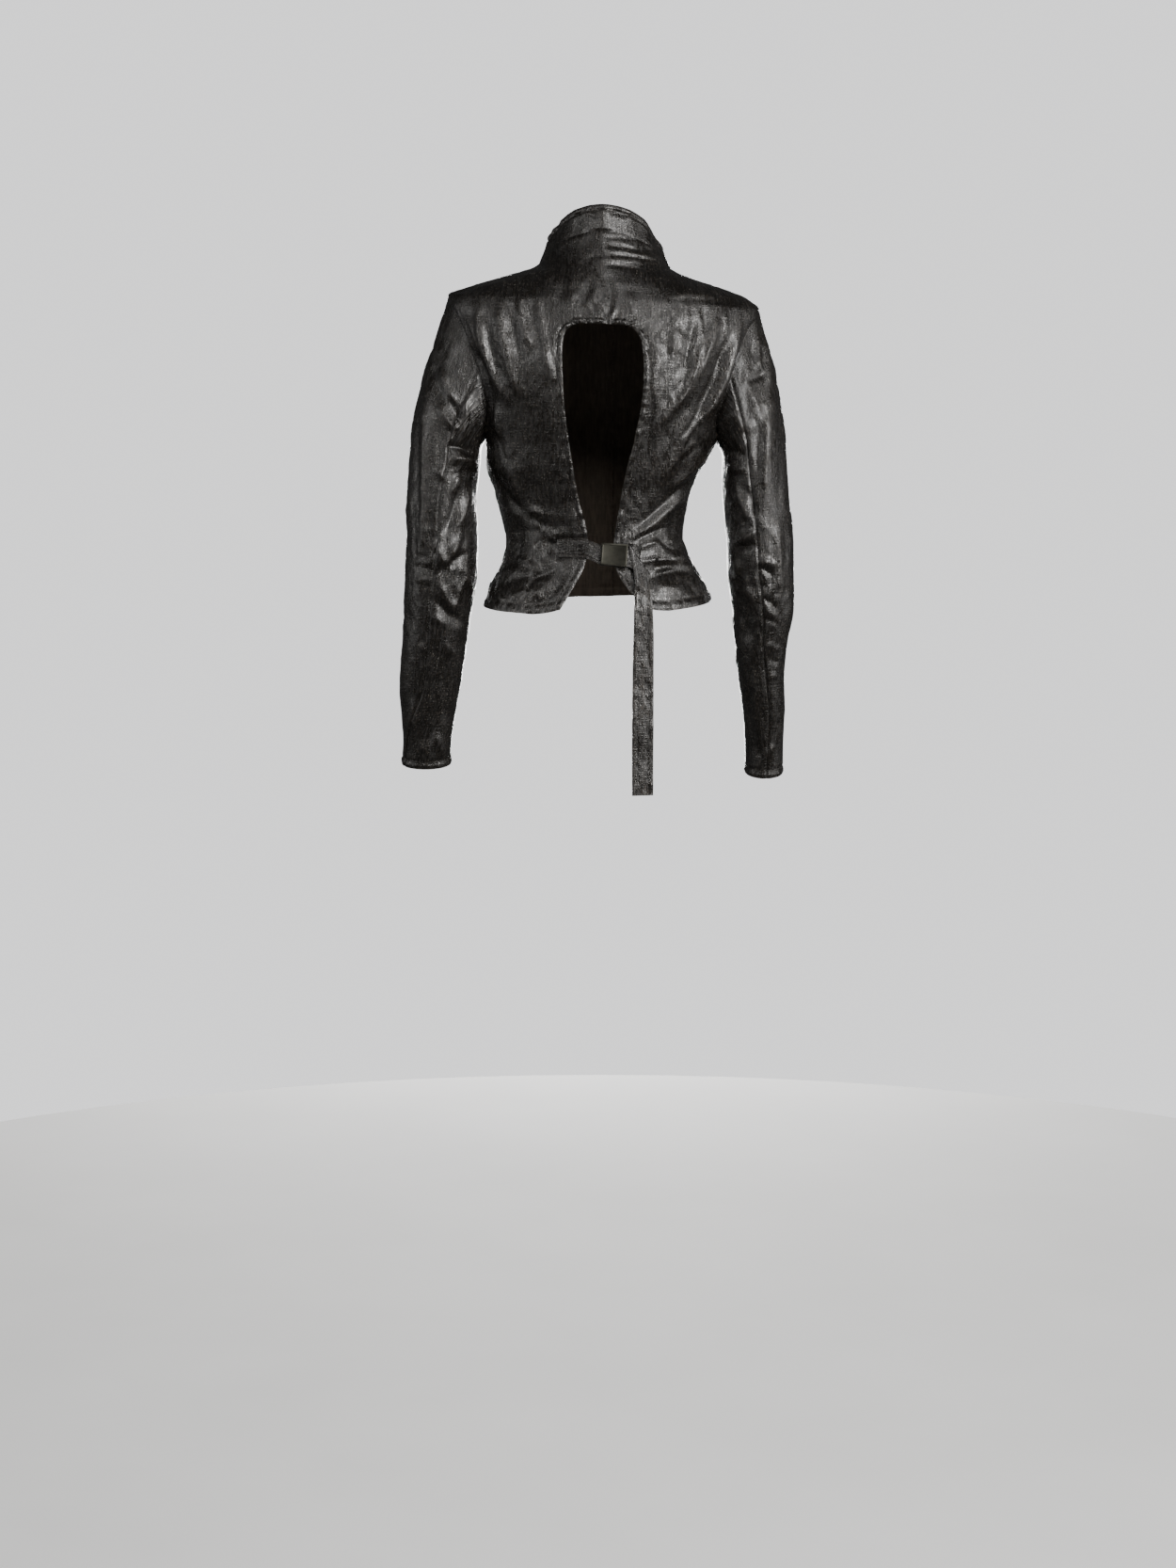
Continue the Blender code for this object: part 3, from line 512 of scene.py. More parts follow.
RIGHT_AHEAD = rows_of(Crease, [
    (-222, -118, -180, -206, 4, 9, 3.0),
    (-212, -156, -168, -236, 4, 8, -3.0),
    (-232, -306, -168, -352, -4, 7, -3.4),
    (-232, -334, -170, -376, -4, 6, 3.4),
    (-230, -360, -170, -394, -4, 6, -4.0),
    (-228, -386, -172, -408, -3, 6, 3.6),
    (-232, -408, -176, -426, -3, 6, -3.0),
    (-230, -436, -182, -450, -3, 6, 2.2),
    (-220, -530, -196, -590, 3, 8, 2.0),
])
COLLAR_CREASES = rows_of(Crease, [
    (3, 34, 3, 78, 0, 15, 1.6),
    (30, 66, 8, 58, 1, 3, 0.9),
    (-8, 64, -30, 60, 1, 3, -0.9),
    (0, 24, -52, 21, 1, 2.2, -1.5),
    (-2, 17, -58, 14, 1, 1.8, -1.3),
    (0, 29, -40, 27, 1, 2.4, 1.2),
    (-4, 20.5, -56, 17.5, 1, 2.0, 1.2),
    (0, 6, -70, 4, 2, 2.2, -1.3),
    (-6, 10, -60, 8, 1, 2.6, 1.3),
    (44, 26, 26, 27, 0, 2.4, 1.8),
    (70, 18, 30, 22, 2, 3.0, -1.2),
    (-66, 28, -82, 12, 2, 4, -1.4),
    (90, 10, 110, 34, 2, 6, 1.6),
    (-100, 10, -118, 34, -2, 6, 1.6),
])


def hex_colour(text):
    """An sRGB hex colour as Blender's linear colour."""
    levels = [int(text[k:k + 2], 16) / 255 for k in (1, 3, 5)]
    return [v / 12.92 if v <= 0.04045 else ((v + 0.055) / 1.055) ** 2.4 for v in levels] + [1.0]


def length_setting(name, description, default, **limits):
    """A setting that is a length, in metres."""
    return bpy.props.FloatProperty(
        name=name, description=description, default=default, subtype="DISTANCE", unit="LENGTH", **limits)


def colour_setting(name, description, text):
    """A setting that is a colour."""
    return bpy.props.FloatVectorProperty(
        name=name, description=description, default=hex_colour(text), subtype="COLOR", size=4)


# ---------------------------------------------------------------- settings


class BlazerCloth(bpy.types.PropertyGroup):
    thickness: length_setting(
        "Cloth thickness", "Wall of the coated linen", 1.1 * MM, min=0.5 * MM, max=1.5 * MM)
    hem: length_setting("Edge hem", "Width of the turned edge of the open back", 7.5 * MM)
    cuff: length_setting("Cuff hem", "Width of the stitched edge of the cuffs", 10 * MM)
    stitch: length_setting("Stitch length", "Length of one topstitch with its gap", 3.6 * MM)
    crumple: bpy.props.FloatProperty(
        name="Crumple", description="Share of the fine crumpling that shows", default=1.0, min=0, max=2)
    cloth_colour: colour_setting("Linen", "Coated linen", "#0c0a08")
    # the worn colour also serves as a painted highlight on crease ridges and down the belt's tail
    wear_and_sheen_colour: colour_setting("Worn linen", "Rubbed edges and slubs", "#4a443e")
    thread_colour: colour_setting("Thread", "Topstitching", "#1c1815")


class BlazerTrim(bpy.types.PropertyGroup):
    metal_colour: colour_setting("Gunmetal", "Brushed buckle", "#383731")
    button_colour: colour_setting("Horn", "Buttons", "#241d18")


class BlazerStage(bpy.types.PropertyGroup):
    camera_distance: length_setting("Camera distance", "From the middle of the garment", 3.85)
    lens: bpy.props.FloatProperty(
        name="Lens", description="On the frame's long side", default=67.53, unit="CAMERA")
    floor: length_setting("Floor", "Height of the floor below the neck", -1.53)
    floor_colour: colour_setting("Floor colour", "Pale floor", "#f8f7f5")


# ---------------------------------------------------------------- curves and tables


def curve_at(keys, values, at):
    """A smooth curve through a table's values, its keys rising, at many places."""
    keys, values = np.asarray(keys, float), np.asarray(values, float)
    last = len(keys) - 1
    at = np.clip(at, keys[0], keys[last])
    k = np.clip(np.searchsorted(keys, at, side="right") - 1, 0, last - 1)
    low, high = np.maximum(np.arange(last + 1) - 1, 0), np.minimum(np.arange(last + 1) + 1, last)
    many = (slice(None),) + (None,) * (values.ndim - 1)
    slopes = (values[high] - values[low]) / (keys[high] - keys[low])[many]
    span = keys[k + 1] - keys[k]
    t = (at - keys[k]) / span
    if values.ndim > 1:
        t, span = t[many], span[many]
    return (
        values[k] * (1 + 2 * t) * (1 - t) ** 2
        + values[k + 1] * t * t * (3 - 2 * t)
        + slopes[k] * span * t * (1 - t) ** 2
        + slopes[k + 1] * span * t * t * (t - 1)
    )


def reader(table):
    """Reads each named column of a table as a smooth curve over its first column."""
    rows = sorted(table)
    columns = np.array(rows, float).T
    kind = type(rows[0])

    def read(at):
        return kind(at, *(curve_at(columns[0], column, at) for column in columns[1:]))

    return read


body_ring = reader(BODY)
cutout_edge = reader(CUTOUT)
collar_stand = reader(COLLAR)


def smooth_step(t):
    """Eases from 0 to 1 as t does."""
    t = np.clip(t, 0.0, 1.0)
    return t * t * (3 - 2 * t)


def mix(a, b, t):
    """The value that lies this share of the way from a to b."""
    return a + (b - a) * t


def power(base, exponent):
    """The size of a value raised to an exponent, without its sign."""
    return np.abs(base) ** exponent


def unit(vectors):
    """Vectors of length one."""
    return vectors / np.maximum(np.linalg.norm(vectors, axis=-1, keepdims=True), 1e-12)


def between(values, at, kinks=()):
    """A table's lines and the places between them, smooth except at its kinks."""
    values = np.asarray(values, float)
    ends = [0, *kinks, len(values) - 1]
    result = np.empty((len(at),) + values.shape[1:])
    for first, last in zip(ends, ends[1:]):
        inside = (at >= first - 1e-9) & (at <= last + 1e-9)
        result[inside] = curve_at(np.arange(first, last + 1.0), values[first:last + 1], at[inside])
    return result


def fine(count, steps):
    """Places on a table's lines and between them, this many to a line."""
    return np.linspace(0, count, count * steps + 1)


# ---------------------------------------------------------------- the form of the body


def tilt(height):
    """The shoulders slope one way and the hem the other, so the garment hangs a little askew."""
    return mix(HEM_TILT, SHOULDER_TILT, smooth_step((height - SIDE_HEM) / (SHOULDER_TIP - SIDE_HEM)))


def hand_of(side):
    """The name of a side: 1 is the left and -1 the right."""
    return "left" if side > 0 else "right"


def bare_body(turn, height):
    """The garment's outer form: turn 0 behind, 90 at the left side, 180 in front."""
    turn, height = np.broadcast_arrays(np.asarray(turn, float), np.asarray(height, float))
    ring = body_ring(height)
    across, along = np.sin(np.radians(turn)), np.cos(np.radians(turn))
    x = np.where(across >= 0, ring.left, ring.right) * power(across, 2 / ring.square) * np.sign(across)
    y = np.where(along >= 0, ring.back, ring.front) * power(along, 2 / ring.square) * np.sign(along)
    return np.stack([x, y, height + tilt(height) * x], axis=-1)


def normal_of(surface, a, b):
    """The outward direction of a surface whose first value turns from +Y to +X."""
    turn_step, height_step = 0.4, 1.0
    along_a = surface(a + turn_step, b) - surface(a - turn_step, b)
    along_b = surface(a, b + height_step) - surface(a, b - height_step)
    return unit(np.cross(along_b, along_a))


def turn_at(height, x, front=False):
    """The turn at which the form is this far from the centre."""
    ring, x = body_ring(np.asarray(height, float)), np.asarray(x, float)
    reach = np.minimum(np.abs(x) / np.where(x >= 0, ring.left, ring.right), 1.0)
    turn = np.sign(x) * np.degrees(np.arcsin(reach ** (ring.square / 2)))
    return 180 - turn if front else turn


def armhole(turn):
    """The armhole's seam: 0 at the shoulder, 90 behind, 180 at the underarm, 270 in front."""
    middle, reach = (SHOULDER_TIP + UNDERARM) / 2, (SHOULDER_TIP - UNDERARM) / 2
    round_arm = np.radians(turn)
    deep = np.where(np.sin(round_arm) > 0, BACK_ARMHOLE_TURN, FRONT_ARMHOLE_TURN)
    return 90 - deep * np.sin(round_arm), middle + reach * np.cos(round_arm)


def neckline(turn):
    """The collar's seam: 0 at the centre back, 90 at the shoulder, 180 in front."""
    turn = np.asarray(turn, float)
    behind = NECK_POINT + BACK_NECK_RISE * np.maximum(np.cos(np.radians(turn)), 0) ** 0.85
    forward = np.radians(np.maximum(turn - 90, 0))
    ahead = NECK_POINT - FRONT_NECK_DROP * np.sin(forward)
    reach = float(body_ring(np.array(NECK_POINT)).left)
    ahead_turn = turn_at(ahead, reach * np.cos(forward), front=True)
    return np.where(turn <= 90, turn, ahead_turn), np.where(turn <= 90, behind, ahead)


# ---------------------------------------------------------------- the maps of the panels


def spaced(first, last, count):
    """Even places from the first to the last, with this many gaps between them."""
    return [mix(first, last, k / count) for k in range(count + 1)]


def neck_turns(front):
    """Where a panel's columns meet the neckline, from the centre to the shoulder."""
    if not front:
        return [mix(90, 0, t**1.4) for t in spaced(1, 0, NECK_COLUMNS)]
    return [FRONT_EDGE_TURN] + [mix(90, COLLAR_END, t**1.2) for t in spaced(1, 0, NECK_COLUMNS - 1)]


def top_edge(front):
    """Neckline and shoulder seam, from the centre to the shoulder's tip."""
    neck = [neckline(turn) for turn in neck_turns(front)]
    shoulder = [mix(NECK_POINT, SHOULDER_TIP, t**1.25) for t in spaced(0, 1, COLUMNS - NECK_COLUMNS)]
    return np.array(neck + [(90, height) for height in shoulder[1:]])


def outer_edge(front):
    """Side seam and armhole, from the hem to the shoulder's tip."""
    side = [(90, h) for h in spaced(SIDE_HEM, UNDERARM, SIDE_ROWS)]
    last = 360 if front else 0
    return np.array(side + [armhole(turn) for turn in spaced(180, last, ARMHOLE_ROWS)[1:]], float)


def back_half(side):
    """The map of one half of the back: side is 1 on the left and -1 on the right."""
    top, outer = top_edge(front=False), outer_edge(front=False)
    corner_height = CUTOUT_SHOULDER_ROWS[-1]
    straight_rows = CUTOUT_TOP_ROW - len(CUTOUT_SHOULDER_ROWS)
    edge_heights = spaced(CUTOUT[0].height, CUTOUT_STRAIGHT_TOP, straight_rows) + CUTOUT_SHOULDER_ROWS

    def edge(height):
        cut = cutout_edge(height)
        return np.array([turn_at(height, cut.left if side > 0 else cut.right), height])

    corner = edge(corner_height)
    rows = []
    for k in range(ROWS + 1):
        upper = max(k - CUTOUT_TOP_ROW, 0) / (ROWS - CUTOUT_TOP_ROW)
        inner = edge(edge_heights[k]) if k <= CUTOUT_TOP_ROW else mix(corner, top[CENTRE_COLUMNS], upper)
        middle = mix(np.array([0, corner_height]), top[0], upper)
        row = []
        for j in range(COLUMNS + 1):
            if j < CENTRE_COLUMNS:
                t = j / CENTRE_COLUMNS
                place, bare_top = mix(middle, inner, t), mix(top[0], top[CENTRE_COLUMNS], t)
            else:
                t = (j - CENTRE_COLUMNS) / (COLUMNS - CENTRE_COLUMNS)
                dip = BACK_HEM_DIP * smooth_step(t * 6) * (1 - t) * max(1 - k / 4, 0)
                place = mix(inner, outer[k], t) - (0, dip)
                bare_top = mix(top[CENTRE_COLUMNS], top[COLUMNS], t)
            row.append(place + (top[j] - bare_top) * upper * upper)
        rows.append(row)
    return np.array(rows)


def front_half():
    """The map of a front, its edge lapping past the centre."""
    top, outer = top_edge(front=True), outer_edge(front=True)
    rows = []
    for k in range(ROWS + 1):
        height = mix(SIDE_HEM, top[0][1], k / ROWS)
        inner = np.array([turn_at(height, -FRONT_OVERLAP, front=True), height])
        pull = (max(k - SIDE_ROWS, 0) / ARMHOLE_ROWS) ** 2
        shares = np.linspace(0, 1, COLUMNS + 1)[:, None]
        rows.append(mix(inner, outer[k], shares) + (top - mix(top[0], top[COLUMNS], shares)) * pull)
    return np.array(rows)


# ---------------------------------------------------------------- creases, crumple and edges


def crease_lift(creases, x, z):
    """How far the creases lift or sink the cloth at places seen from their side."""
    total = np.zeros(np.shape(z))
    for crease in creases:
        run_x, run_z = crease.to_x - crease.x, crease.to_z - crease.z
        length = math.hypot(run_x, run_z)
        along = ((x - crease.x) * run_x + (z - crease.z) * run_z) / length**2
        aside = ((x - crease.x) * run_z - (z - crease.z) * run_x) / length
        aside = aside - crease.bow * 4 * np.clip(along, 0, 1) * (1 - np.clip(along, 0, 1))
        fade = smooth_step((along + CREASE_PAST_END) / CREASE_FADE)
        fade = fade * smooth_step((1 + CREASE_PAST_END - along) / CREASE_FADE)
        across = np.abs(aside / (CREASE_NARROWING * crease.wide)) ** 1.6
        total += CREASE_DEEPENING * crease.high * fade * np.exp(-across)
    return total


def noise_at(points, size, seed, stretch=(1, 1, 1)):
    """Smooth random values between about -1 and 1 over lumps of this size."""
    scaled = points * np.array(stretch) / size + seed * 17.3
    values = [noise.noise(Vector(p)) for p in scaled.reshape(-1, 3)]
    return np.array(values).reshape(points.shape[:-1]) * 1.6


def crumple_at(points, strength):
    """The crinkles of stiff coated linen: faint facets with creased edges between them."""
    patch = smooth_step(noise_at(points, 75, 3) * 0.8 + 0.5)
    total = 0
    for size, seed, stretch, least, high in CRINKLES:
        facets = 1 - np.abs(noise_at(points, size, seed, stretch)) * 1.7
        total = total + mix(least, 1, patch) * facets * high
    return strength * total


def body_lift(point, turn, crumple):
    """How far the cloth of the body stands off the form."""
    front = smooth_step((np.abs((turn + 180) % 360 - 180) - 80) / 20)
    lift = mix(
        crease_lift(BACK_CREASES, point[..., 0], point[..., 2]),
        crease_lift(FRONT_CREASES, point[..., 0], point[..., 2]),
        front,
    )
    hip = smooth_step((-325 - point[..., 2]) / 40) * smooth_step((point[..., 0] + 20) / 40)
    belt = under_belt(point)
    return lift + crumple_at(point, crumple) * (1 + 1.1 * hip) * (1 - 0.85 * belt) - 0.9 * belt


def under_belt(point):
    """Where the belt lies on the back, and keeps the cloth flat."""
    x, z = point[..., 0], point[..., 2]
    middle = BELT_MIDDLE - BELT_DROP * smooth_step((24 - x) / 54)
    band = smooth_step((BELT_HALF - np.abs(z - middle)) / 4)
    return band * smooth_step((x - BELT_RIGHT) / 5) * smooth_step((BELT_LEFT - x) / 4) * (point[..., 1] > 0)


Rail = namedtuple("Rail", "points along tree")


def rail_of(points):
    """An edge or seam as a line of close points that can be searched."""
    steps = np.linalg.norm(np.diff(points, axis=0), axis=1)
    along = np.concatenate([[0], np.cumsum(steps)])
    places = np.arange(0, along[-1], RAIL_STEP)
    close = np.stack([np.interp(places, along, points[:, k]) for k in range(3)], axis=1)
    tree = kdtree.KDTree(len(close))
    for k, point in enumerate(close):
        tree.insert(point, k)
    tree.balance()
    return Rail(close, places, tree)


def from_rail(rail, points):
    """Each point's distance from the rail and its place along it, past a reach only far."""
    flat = points.reshape(-1, 3)
    low, high = rail.points.min(0) - RAIL_REACH, rail.points.max(0) + RAIL_REACH
    near = np.all((flat > low) & (flat < high), axis=1)
    distance = np.full(len(flat), 1e3)
    place = np.zeros(len(flat))
    for k in np.nonzero(near)[0]:
        _, index, gap = rail.tree.find(flat[k])
        distance[k], place[k] = gap, rail.along[index]
    return distance.reshape(points.shape[:-1]), place.reshape(points.shape[:-1])


def pucker(place, seed, spacing):
    """Uneven little waves along a line of stitches."""
    waves = [noise.noise(Vector((p / spacing, seed * 9.1, 0.3))) for p in place.ravel()]
    return np.array(waves).reshape(place.shape)


def hem_lift(rail, points, wide, seed, full):
    """A turned and stitched edge: a full, puckered band with its stitches drawn in."""
    gap, place = from_rail(rail, points)
    waves = pucker(place, seed, 5.5) * 1.4
    band = smooth_step((wide - gap) / 1.5) * np.sin(np.clip(gap / wide, 0, 1) * math.pi)
    drawn = np.exp(-((gap - wide) / 1.4) ** 2) * (0.95 + 0.6 * waves)
    beyond = np.exp(-((gap - wide - 4) / 4) ** 2) * pucker(place, seed + 5, 8) * 0.7
    rolled = smooth_step(1 - gap / 1.6) * 0.5
    return full * 1.5 * band * (1 + 1.5 * waves) - drawn + beyond - rolled


def seam_lift(rail, points, seed, deep):
    """A plain seam: a narrow furrow, faintly drawn, with its allowances behind it."""
    gap, place = from_rail(rail, points)
    waves = pucker(place, seed, 9)
    return -deep * np.exp(-(gap / 1.4) ** 2) + np.exp(-((gap - 5) / 4) ** 2) * (0.3 + 0.5 * waves)


# ---------------------------------------------------------------- meshes


def only(obj=None):
    """Deselects everything, then selects one object and makes it the active one."""
    if bpy.context.object and bpy.context.object.mode != "OBJECT":
        bpy.ops.object.mode_set(mode="OBJECT")
    bpy.ops.object.select_all(action="DESELECT")
    if obj:
        obj.select_set(True)
        bpy.context.view_layer.objects.active = obj


def apply_modifier(obj, name, kind, **settings):
    """Adds a modifier with these settings and applies it."""
    only(obj)
    modifier = obj.modifiers.new(name, kind)
    for key, value in settings.items():
        setattr(modifier, key, value)
    bpy.ops.object.modifier_apply(modifier=modifier.name)


def new_piece(name, points, faces):
    """A named object at the origin, from points in metres."""
    mesh = bpy.data.meshes.new(name)
    mesh.from_pydata(points, [], faces)
    mesh.shade_smooth()
    obj = bpy.data.objects.new(name, mesh)
    bpy.context.scene.collection.objects.link(obj)
    return obj


def add_mesh(name, points, faces, uv, wear_and_sheen):
    """A piece of cloth from points in millimetres, its UVs along the grain, and how rubbed it is, with a
    painted highlight on its crease ridges and belt tail in the same values.
    """
    obj = new_piece(name, (points * MM).tolist(), faces.tolist())
    corners = np.empty(len(obj.data.loops), np.int32)
    obj.data.loops.foreach_get("vertex_index", corners)
    layer = obj.data.uv_layers.new(name="grain")
    layer.data.foreach_set("uv", (uv[corners] * MM).astype(np.float32).ravel())
    # edge wear, and a painted highlight on crease ridges and down the belt's tail, in one attribute
    layer = obj.data.attributes.new("wear_and_sheen", "FLOAT", "POINT")
    layer.data.foreach_set("value", wear_and_sheen.astype(np.float32))
    return obj


def grid_faces(rows, columns, keep=None):
    """The quads of a grid, or of the part of it that is kept."""
    index = np.arange(rows * columns).reshape(rows, columns)
    quads = np.stack([index[:-1, :-1], index[:-1, 1:], index[1:, 1:], index[1:, :-1]], axis=-1)
    if keep is None:
        return quads.reshape(-1, 4)
    return quads[keep[:-1, :-1] & keep[:-1, 1:] & keep[1:, 1:] & keep[1:, :-1]]


def grain_of(grid):
    """A sheet's UVs: the length across it from its middle column, and the length down it."""
    across = np.zeros(grid.shape[:2])
    across[:, 1:] = np.cumsum(np.linalg.norm(np.diff(grid, axis=1), axis=2), axis=1)
    down = np.zeros(grid.shape[:2])
    down[1:] = np.cumsum(np.linalg.norm(np.diff(grid, axis=0), axis=2), axis=0)
    middle = grid.shape[1] // 2
    down = np.broadcast_to(down[:, middle][:, None], across.shape)
    return np.stack([across - across[:, middle][:, None], down], axis=-1)


def cloth_sheet(name, grid, out, uv=None, keep=None, wear_and_sheen=None, thickness=None, offset=-1.0):
    """A walled sheet from a grid of points, its face turned outwards."""
    rows, columns = grid.shape[:2]
    faces = grid_faces(rows, columns, keep)
    corners = grid.reshape(-1, 3)[faces]
    facing = np.cross(corners[:, 2] - corners[:, 0], corners[:, 3] - corners[:, 1])
    if np.sum(facing * out.reshape(-1, 3)[faces[:, 0]]) < 0:
        faces = faces[:, ::-1]
    used = np.unique(faces)
    renumber = np.zeros(rows * columns, int)
    renumber[used] = np.arange(len(used))
    uv = grain_of(grid) if uv is None else uv
    wear_and_sheen = np.zeros((rows, columns)) if wear_and_sheen is None else wear_and_sheen
    obj = add_mesh(
        name, grid.reshape(-1, 3)[used], renumber[faces], uv.reshape(-1, 2)[used], wear_and_sheen.reshape(-1)[used]
    )
    cloth = bpy.context.scene.blazer_cloth
    obj.data.materials.append(finish_material("coated_linen"))
    obj.data.materials.append(finish_material("linen_inside"))
    apply_modifier(
        obj, "Wall", "SOLIDIFY", thickness=thickness or cloth.thickness, offset=offset,
        material_offset=0 if offset == 0 else 1)
    obj.data.set_sharp_from_angle(angle=math.radians(55))
    return obj


def stands_for(obj, node):
    """Lets a piece ride on the body, in place of its node."""
    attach(obj, "root")
    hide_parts(node)


def finish_trim(obj, finish, node):
    """Dresses a hard piece in one finish and lets it stand for its node."""
    obj.data.materials.clear()
    obj.data.materials.append(finish_material(finish))
    stands_for(obj, node)


def finish_cloth(obj, node):
    stands_for(obj, node)


# ---------------------------------------------------------------- topstitching

# Each ring of a stitch: which of its three stops it lies at, its lift and its radius
THREAD_RINGS = ((0, -0.25, 0.10), (0, 0.16, 0.22), (1, 0.2, 0.26), (2, 0.16, 0.22), (2, -0.25, 0.10))
THREAD_SIDES = 5
STITCHES = []


def stitch_row(obj, rail, out_at, towards, inset):
    """Lays a row of stitches on a sheet's outer face, this far from its edge."""
    tree = BVHTree.FromObject(obj, bpy.context.evaluated_depsgraph_get())
    pitch = bpy.context.scene.blazer_cloth.stitch / MM
    outs = [Vector(out_at(point)) for point in rail.points[::8]]
    for k in range(int(rail.along[-1] / pitch)):
        stitch = []
        for share in (0.13, 0.5, 0.87):
            index = int(np.clip(np.searchsorted(rail.along, (k + share) * pitch), 2, len(rail.points) - 3))
            here = Vector(rail.points[index])
            out = outs[min(index // 8, len(outs) - 1)]
            run = Vector(rail.points[index + 2] - rail.points[index - 2]).normalized()
            side = run.cross(out).normalized()
            if side.dot(Vector(towards(rail.points[index])) - here) < 0:
                side.negate()
            place, normal, _, _ = tree.ray_cast((here + side * inset + out * 9) * MM, -out, 0.02)
            if place is None:
                break
            stitch.append((place / MM, normal if normal.dot(out) > 0 else -normal, run))
        if len(stitch) == 3:
            STITCHES.append(stitch)


def stitch_mesh(name):
    """All stitches as one piece: short plump threads sunk at both ends."""
    points, faces = [], []
    for stitch in STITCHES:
        first = len(points)
        for stop, lift, radius in THREAD_RINGS:
            place, normal, run = stitch[stop]
            side = normal.cross(run).normalized()
            for k in range(THREAD_SIDES):
                angle = 2 * math.pi * k / THREAD_SIDES
                rise = normal * (lift + radius * math.cos(angle))
                points.append(place + rise + side * radius * 1.15 * math.sin(angle))
        last = first + (len(THREAD_RINGS) - 1) * THREAD_SIDES
        for ring in range(first, last, THREAD_SIDES):
            for k in range(THREAD_SIDES):
                a, b = ring + k, ring + (k + 1) % THREAD_SIDES
                faces.append((a, b, b + THREAD_SIDES, a + THREAD_SIDES))
        faces.append(tuple(first + k for k in reversed(range(THREAD_SIDES))))
        faces.append(tuple(last + k for k in range(THREAD_SIDES)))
    obj = new_piece(name, [tuple(point * MM) for point in points], faces)
    only(obj)
    bpy.ops.object.mode_set(mode="EDIT")
    bpy.ops.mesh.select_all(action="SELECT")
    bpy.ops.mesh.normals_make_consistent(inside=False)
    bpy.ops.object.mode_set(mode="OBJECT")
    return obj


# ---------------------------------------------------------------- materials


def set_inputs(tree, node, inputs):
    """Sets a node's inputs, and links those whose value is another node's output."""
    for key, value in inputs.items():
        if isinstance(value, bpy.types.NodeSocket):
            tree.links.new(value, node.inputs[key])
        else:
            node.inputs[key].default_value = value


def add_node(tree, kind, inputs=None, output=0, **settings):
    """Adds a shader node with its settings and links, and gives one of its outputs."""
    made = tree.nodes.new("ShaderNode" + kind)
    for key, value in settings.items():
        setattr(made, key, value)
    set_inputs(tree, made, inputs or {})
    return made.outputs[output]


def new_material(name):
    """A material and its tree of nodes."""
    made = bpy.data.materials.new(name)
    made.use_nodes = True
    return made, made.node_tree


def set_surface(tree, **inputs):
    """Sets or links the inputs of a material's shader, with underscores for their spaces."""
    inputs = {key.replace("_", " "): value for key, value in inputs.items()}
    set_inputs(tree, tree.nodes["Principled BSDF"], inputs)


def lumps(tree, vector, size, detail=2.0, roughness=0.5, distortion=0.0):
    """A pattern of soft lumps that have this size in millimetres along x, y and z."""
    scaled = add_node(tree, "Mapping", {"Vector": vector, "Scale": [1 / (s * MM) for s in size]})
    return add_node(tree, "TexNoise", {
        "Vector": scaled, "Scale": 1.0, "Detail": detail, "Roughness": roughness, "Distortion": distortion,
    }, output="Fac")


def added_up(tree, *parts):
    """The sum of patterns, each turned from its low and high levels to two amounts."""
    total = None
    for pattern, low, high, least, most in parts:
        levels = {"Value": pattern, "From Min": low, "From Max": high, "To Min": least, "To Max": most}
        part = add_node(tree, "MapRange", levels, clamp=True)
        total = part if total is None else add_node(tree, "Math", {0: total, 1: part}, operation="ADD")
    return total


def tinted(tree, base, colour, pattern, low, high, least=0.0, most=1.0):
    """One colour laid over another as a pattern passes from its low to its high level."""
    share = added_up(tree, (pattern, low, high, least, most))
    return add_node(tree, "Mix", {0: share, 6: base, 7: colour}, output=2, data_type="RGBA")


def relief(tree, *layers, strength=1.0):
    """Bumps laid on each other: a pattern, its low and high levels, and its depth in millimetres."""
    normal = None
    for pattern, low, high, depth in layers:
        height = added_up(tree, (pattern, low, high, 0.0, 1.0))
        inputs = {"Height": height, "Strength": strength, "Distance": depth * MM}
        if normal is not None:
            inputs["Normal"] = normal
        normal = add_node(tree, "Bump", inputs)
    return normal


# Linen of this weight has about 16 threads to the centimetre. Threads 0.6 mm apart are too
# fine to show in the render, so the plain weave is drawn 0.95 mm apart, and the slubs, the
# thick places in the yarn, 2 to 3 mm wide instead of 1.
WEAVE_PITCH = 0.952
SLUB_DOWN = (3.4, 26, 1)
FINE_SLUB_DOWN = (1.9, 10, 1)
SLUB_ACROSS = (14, 2.2, 1)


def linen_threads(tree):
    """The cloth's grain, and its slubs down, its fine slubs down, those across and its weave."""
    grain = add_node(tree, "UVMap", uv_map="grain")
    slub_down = lumps(tree, grain, SLUB_DOWN, 3, 0.7)
    fine_slub = lumps(tree, grain, FINE_SLUB_DOWN, 2, 0.6)
    slub_across = lumps(tree, grain, SLUB_ACROSS, 2, 0.65)
    # a wave texture of scale 1 has its bands a tenth of pi apart
    bands = {"Vector": grain, "Scale": math.pi / (10 * WEAVE_PITCH * MM), "Distortion": 0.6, "Detail": 1.0}
    down, across = (
        add_node(tree, "TexWave", bands, output="Fac", wave_type="BANDS", bands_direction=direction)
        for direction in "XY")
    weave = add_node(tree, "Math", {0: down, 1: across}, operation="MULTIPLY")
    return grain, slub_down, fine_slub, slub_across, weave


